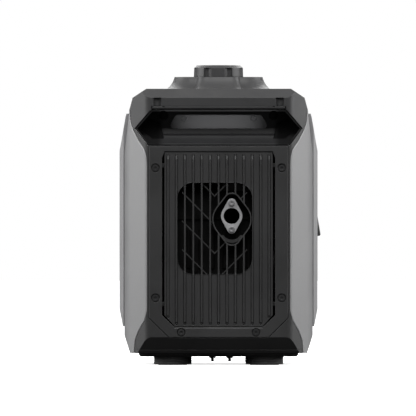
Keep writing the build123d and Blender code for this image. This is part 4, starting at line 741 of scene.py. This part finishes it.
class GENERATOR_OT_engine(PieceOperator):
    """Engine castings, crank train, carburettor and air filter"""

    bl_idname = "generator.engine"
    bl_label = "Engine"

    def make(self, sizes, hue):
        dress("engine_mounts", "crankcase", "crankcase_cover", "crank_bearings", "crankshaft", "crank_pin",
              "connecting_rod", "piston", "piston_pin", "cylinder", "cylinder_head", "valve_cover", "spark_plug",
              "oil_dipstick", "carburettor", "air_filter_box")
        low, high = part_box("air_filter_element")
        clear_selection()
        room = Vector((0.002, 0.003, 0.003))
        bpy.ops.mesh.primitive_cube_add(size=1, location=(low + high) / 2, scale=(high - low) - room)
        foam = bpy.context.object
        bpy.ops.object.transform_apply(location=True, rotation=False, scale=True)
        edit(foam, "EDGE")
        bpy.ops.mesh.select_all(action="SELECT")
        bpy.ops.mesh.bevel(offset=0.003, segments=3)
        bpy.ops.mesh.select_all(action="SELECT")
        bpy.ops.mesh.subdivide(number_cuts=9)
        clear_selection()
        middle, half = (low + high) / 2, (high - low) / 2
        for point in foam.data.vertices:
            share = [(point.co[i] - middle[i]) / half[i] for i in range(3)]
            pull = (1 - min(1, share[1] ** 2)) * (1 - min(1, share[2] ** 2))
            point.co.x += sizes.foam_crown * (pull - 0.75) * (1 if share[0] > 0 else -1)
            point.co.x += 0.00025 * math.sin(point.co.y * 900) * math.sin(point.co.z * 760)
        set_down(foam, "air_filter_foam", "housing", "filter_foam", ["air_filter_element"], angle=60)


class GENERATOR_OT_alternator(PieceOperator):
    """Alternator, fan, shroud and recoil starter body"""

    bl_idname = "generator.alternator"
    bl_label = "Alternator and Starter"

    def make(self, sizes, hue):
        dress("generator_rotor", "stator", "cooling_fan", "fan_shroud", "recoil_housing", "recoil_pulley",
              "inverter_module")


class GENERATOR_OT_starter_grip(PieceOperator):
    """Starter grip with finger grooves"""

    bl_idname = "generator.starter_grip"
    bl_label = "Starter Grip"

    def make(self, sizes, hue):
        low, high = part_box("recoil_grip")
        middle, size = (low + high) / 2, high - low
        clear_selection()
        bpy.ops.mesh.primitive_cube_add(size=1, location=middle, scale=size)
        grip = bpy.context.object
        bpy.ops.object.transform_apply(location=True, rotation=False, scale=True)
        # the outer face leans in towards the top
        edit(grip, "VERT")
        pick_points(grip, lambda p: p.x > middle.x and p.z > middle.z)
        bpy.ops.transform.translate(value=(-GRIP_LEAN, 0, 0))
        bpy.ops.mesh.select_mode(type="EDGE")
        pick_edges(grip, lambda c, d: c.x > middle.x and abs(d.y) > 0.01 and c.z > middle.z)
        bpy.ops.mesh.bevel(offset=0.003, segments=3)
        pick_edges(grip, lambda c, d: c.x > high.x - 0.001 and abs(d.y) > 0.01 and c.z < middle.z)
        bpy.ops.mesh.bevel(offset=0.0034, segments=4)
        pick_edges(grip, lambda c, d: min(c.y - low.y, high.y - c.y) < 1e-5 and c.x > low.x + 1e-4)
        bpy.ops.mesh.bevel(offset=0.0018, segments=3)
        # finger grooves along the outer face
        pitch = sizes.grip_groove_pitch
        count = int(size.y / pitch) - 1
        start = middle.y - pitch * (count - 1) / 2
        for step in range(count):
            for side in (-0.2, 0.2):
                bpy.ops.mesh.select_all(action="SELECT")
                bpy.ops.mesh.bisect(plane_co=(0, start + pitch * (step + side), 0), plane_no=(0, 1, 0))
        bpy.ops.mesh.select_mode(type="FACE")
        grooves = [start + pitch * step for step in range(count)]
        pick_faces(grip, lambda c, n: n.x > 0.8 and low.z + 0.006 < c.z < high.z - 0.005
                   and any(abs(c.y - g) < pitch * 0.15 for g in grooves))
        bpy.ops.mesh.extrude_region_move(TRANSFORM_OT_translate={"value": (-sizes.grip_groove, 0, 0)})
        set_down(grip, "starter_grip", "starter_grip", "grip_rubber", ["recoil_grip"])


class GENERATOR_OT_starter_rope(PieceOperator):
    """Starter rope from the pulley to the grip"""

    bl_idname = "generator.starter_rope"
    bl_label = "Starter Rope"

    def make(self, sizes, hue):
        low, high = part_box("recoil_rope")
        radius, bend, lifts, lengths = sizes.rope_diameter / 2, ROPE_BEND, 10, 24
        x, y, z = low.x + radius, (low.y + high.y) / 2, high.z - radius
        clear_selection()
        bpy.ops.mesh.primitive_circle_add(vertices=20, radius=radius, fill_type="NGON", location=(x, y, low.z))
        rope = bpy.context.object
        bpy.ops.object.transform_apply(location=True, rotation=False, scale=False)
        edit(rope)
        bpy.ops.mesh.select_all(action="SELECT")
        for _ in range(lifts):
            bpy.ops.mesh.extrude_region_move(TRANSFORM_OT_translate={"value": (0, 0, (z - bend - low.z) / lifts)})
        bpy.ops.mesh.spin(steps=10, dupli=False, angle=math.radians(90), center=(x + bend, y, z - bend), axis=(0, 1, 0))
        run = high.x - (x + bend)
        for _ in range(lengths):
            bpy.ops.mesh.extrude_region_move(TRANSFORM_OT_translate={"value": (run / lengths, 0, 0)})
        bpy.ops.mesh.select_all(action="SELECT")
        bpy.ops.mesh.remove_doubles(threshold=0.00001)
        bpy.ops.mesh.normals_make_consistent(inside=False)
        take_up(rope)
        bpy.ops.object.shade_smooth_by_angle(angle=math.radians(50))
        rope.name = rope.data.name = "starter_rope"
        rope.data.materials.append(finish("rope_fabric"))
        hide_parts("recoil_rope")
        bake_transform(rope)


class GENERATOR_OT_controls(PieceOperator):
    """Control panel with its knob, switches, outlets, flaps and lamp window"""

    bl_idname = "generator.controls"
    bl_label = "Control Panel"

    def make(self, sizes, hue):
        dress("control_panel", "ac_outlets", "outlet_flap_left", "outlet_flap_right", "eco_rocker", "reset_button",
              "status_display", "control_dial")


class GENERATOR_OT_studio(PieceOperator):
    """Pale floor, soft lights and the camera"""

    bl_idname = "generator.studio"
    bl_label = "Studio"

    def make(self, sizes, hue):
        scene = bpy.context.scene
        scene.view_settings.view_transform = "Standard"
        clear_selection()
        bpy.ops.mesh.primitive_plane_add(size=60, location=(0, 0, 0))
        floor = bpy.context.object
        floor.name = "floor"
        f = Finish("floor")
        f.shader.inputs["Specular IOR Level"].default_value = 0.0
        grain = effect(f.tree, moulded_grain, {"Place": f.place, "Grain Size": 0.004})
        base = mix_colours(f.tree, grain.outputs["Tone"], rgba(hue.floor, 0.995), rgba(hue.floor, 1.005))
        path = node(f.tree, "ShaderNodeLightPath")
        seen = path.outputs["Is Camera Ray"]
        f.done(mix_colours(f.tree, seen, (0.05, 0.05, 0.05, 1.0), base), 0.9)
        f.shader.inputs["Emission Color"].default_value = (1, 1, 1, 1)
        f.tree.links.new(sums(f.tree, "MULTIPLY", seen, 0.75), f.shader.inputs["Emission Strength"])
        floor.data.materials.append(f.material)

        world = bpy.data.worlds.new("studio")
        world.use_nodes = True
        tree = world.node_tree
        tree.nodes.clear()
        seen = node(tree, "ShaderNodeBackground", {"Color": (1, 1, 1, 1), "Strength": 1.0})
        up = node(tree, "ShaderNodeSeparateXYZ", {0: tree.nodes.new("ShaderNodeTexCoord").outputs["Generated"]})
        sky = spread(tree, up.outputs["Z"], -0.1, 0.7, 0.03, 0.75)
        given = node(tree, "ShaderNodeBackground", {"Color": (1, 1, 1, 1), "Strength": sky})
        path = node(tree, "ShaderNodeLightPath")
        both = node(
            tree, "ShaderNodeMixShader", {0: path.outputs["Is Camera Ray"], 1: given.outputs[0], 2: seen.outputs[0]})
        out = tree.nodes.new("ShaderNodeOutputWorld")
        tree.links.new(both.outputs[0], out.inputs[0])
        scene.world = world

        for name, place, width, height, power in LAMPS:
            lamp = bpy.data.lights.new(name, "AREA")
            lamp.shape, lamp.size, lamp.size_y, lamp.energy = "RECTANGLE", width, height, power
            holder = bpy.data.objects.new(name, lamp)
            scene.collection.objects.link(holder)
            holder.location = place
            holder.visible_camera = False
            aim = Vector((0, 0, AIM_HEIGHT if height > 1 else place[2])) - Vector(place)
            holder.rotation_mode = "QUATERNION"
            holder.rotation_quaternion = aim.to_track_quat("-Z", "Y")

        camera = bpy.data.cameras.new("camera")
        camera.lens, camera.sensor_width = CAMERA_LENS, 36.0
        camera.clip_start, camera.clip_end = 0.5, 200.0
        holder = bpy.data.objects.new("camera", camera)
        scene.collection.objects.link(holder)
        holder.location = CAMERA_PLACE
        holder.rotation_euler = (math.radians(90), 0, 0)
        scene.camera = holder


OPERATORS = (
    GENERATOR_OT_casing, GENERATOR_OT_exhaust_end, GENERATOR_OT_handles, GENERATOR_OT_feet, GENERATOR_OT_fuel_cap,
    GENERATOR_OT_engine, GENERATOR_OT_alternator, GENERATOR_OT_starter_grip, GENERATOR_OT_starter_rope,
    GENERATOR_OT_controls, GENERATOR_OT_studio,
)


class GENERATOR_PT_panel(bpy.types.Panel):
    """Lists the pieces, with their sizes and colours"""

    bl_idname = "GENERATOR_PT_panel"
    bl_label = "Portable Generator"
    bl_space_type = "VIEW_3D"
    bl_region_type = "UI"
    bl_category = "Generator"

    def draw(self, context):
        for operator in OPERATORS:
            self.layout.operator(operator.bl_idname)
        for group in (context.scene.generator_sizes, context.scene.generator_colours):
            box = self.layout.box()
            for key in group.bl_rna.properties.keys():
                if key not in ("rna_type", "name"):
                    box.prop(group, key)


CLASSES = (GeneratorSizes, GeneratorColours, *OPERATORS, GENERATOR_PT_panel)


def register():
    for made in CLASSES:
        bpy.utils.register_class(made)
    bpy.types.Scene.generator_sizes = bpy.props.PointerProperty(type=GeneratorSizes)
    bpy.types.Scene.generator_colours = bpy.props.PointerProperty(type=GeneratorColours)


def unregister():
    del bpy.types.Scene.generator_colours
    del bpy.types.Scene.generator_sizes
    for made in reversed(CLASSES):
        bpy.utils.unregister_class(made)


def main():
    register()
    for operator in OPERATORS:
        family, name = operator.bl_idname.split(".")
        getattr(getattr(bpy.ops, family), name)()


if __name__ == "__main__":
    main()
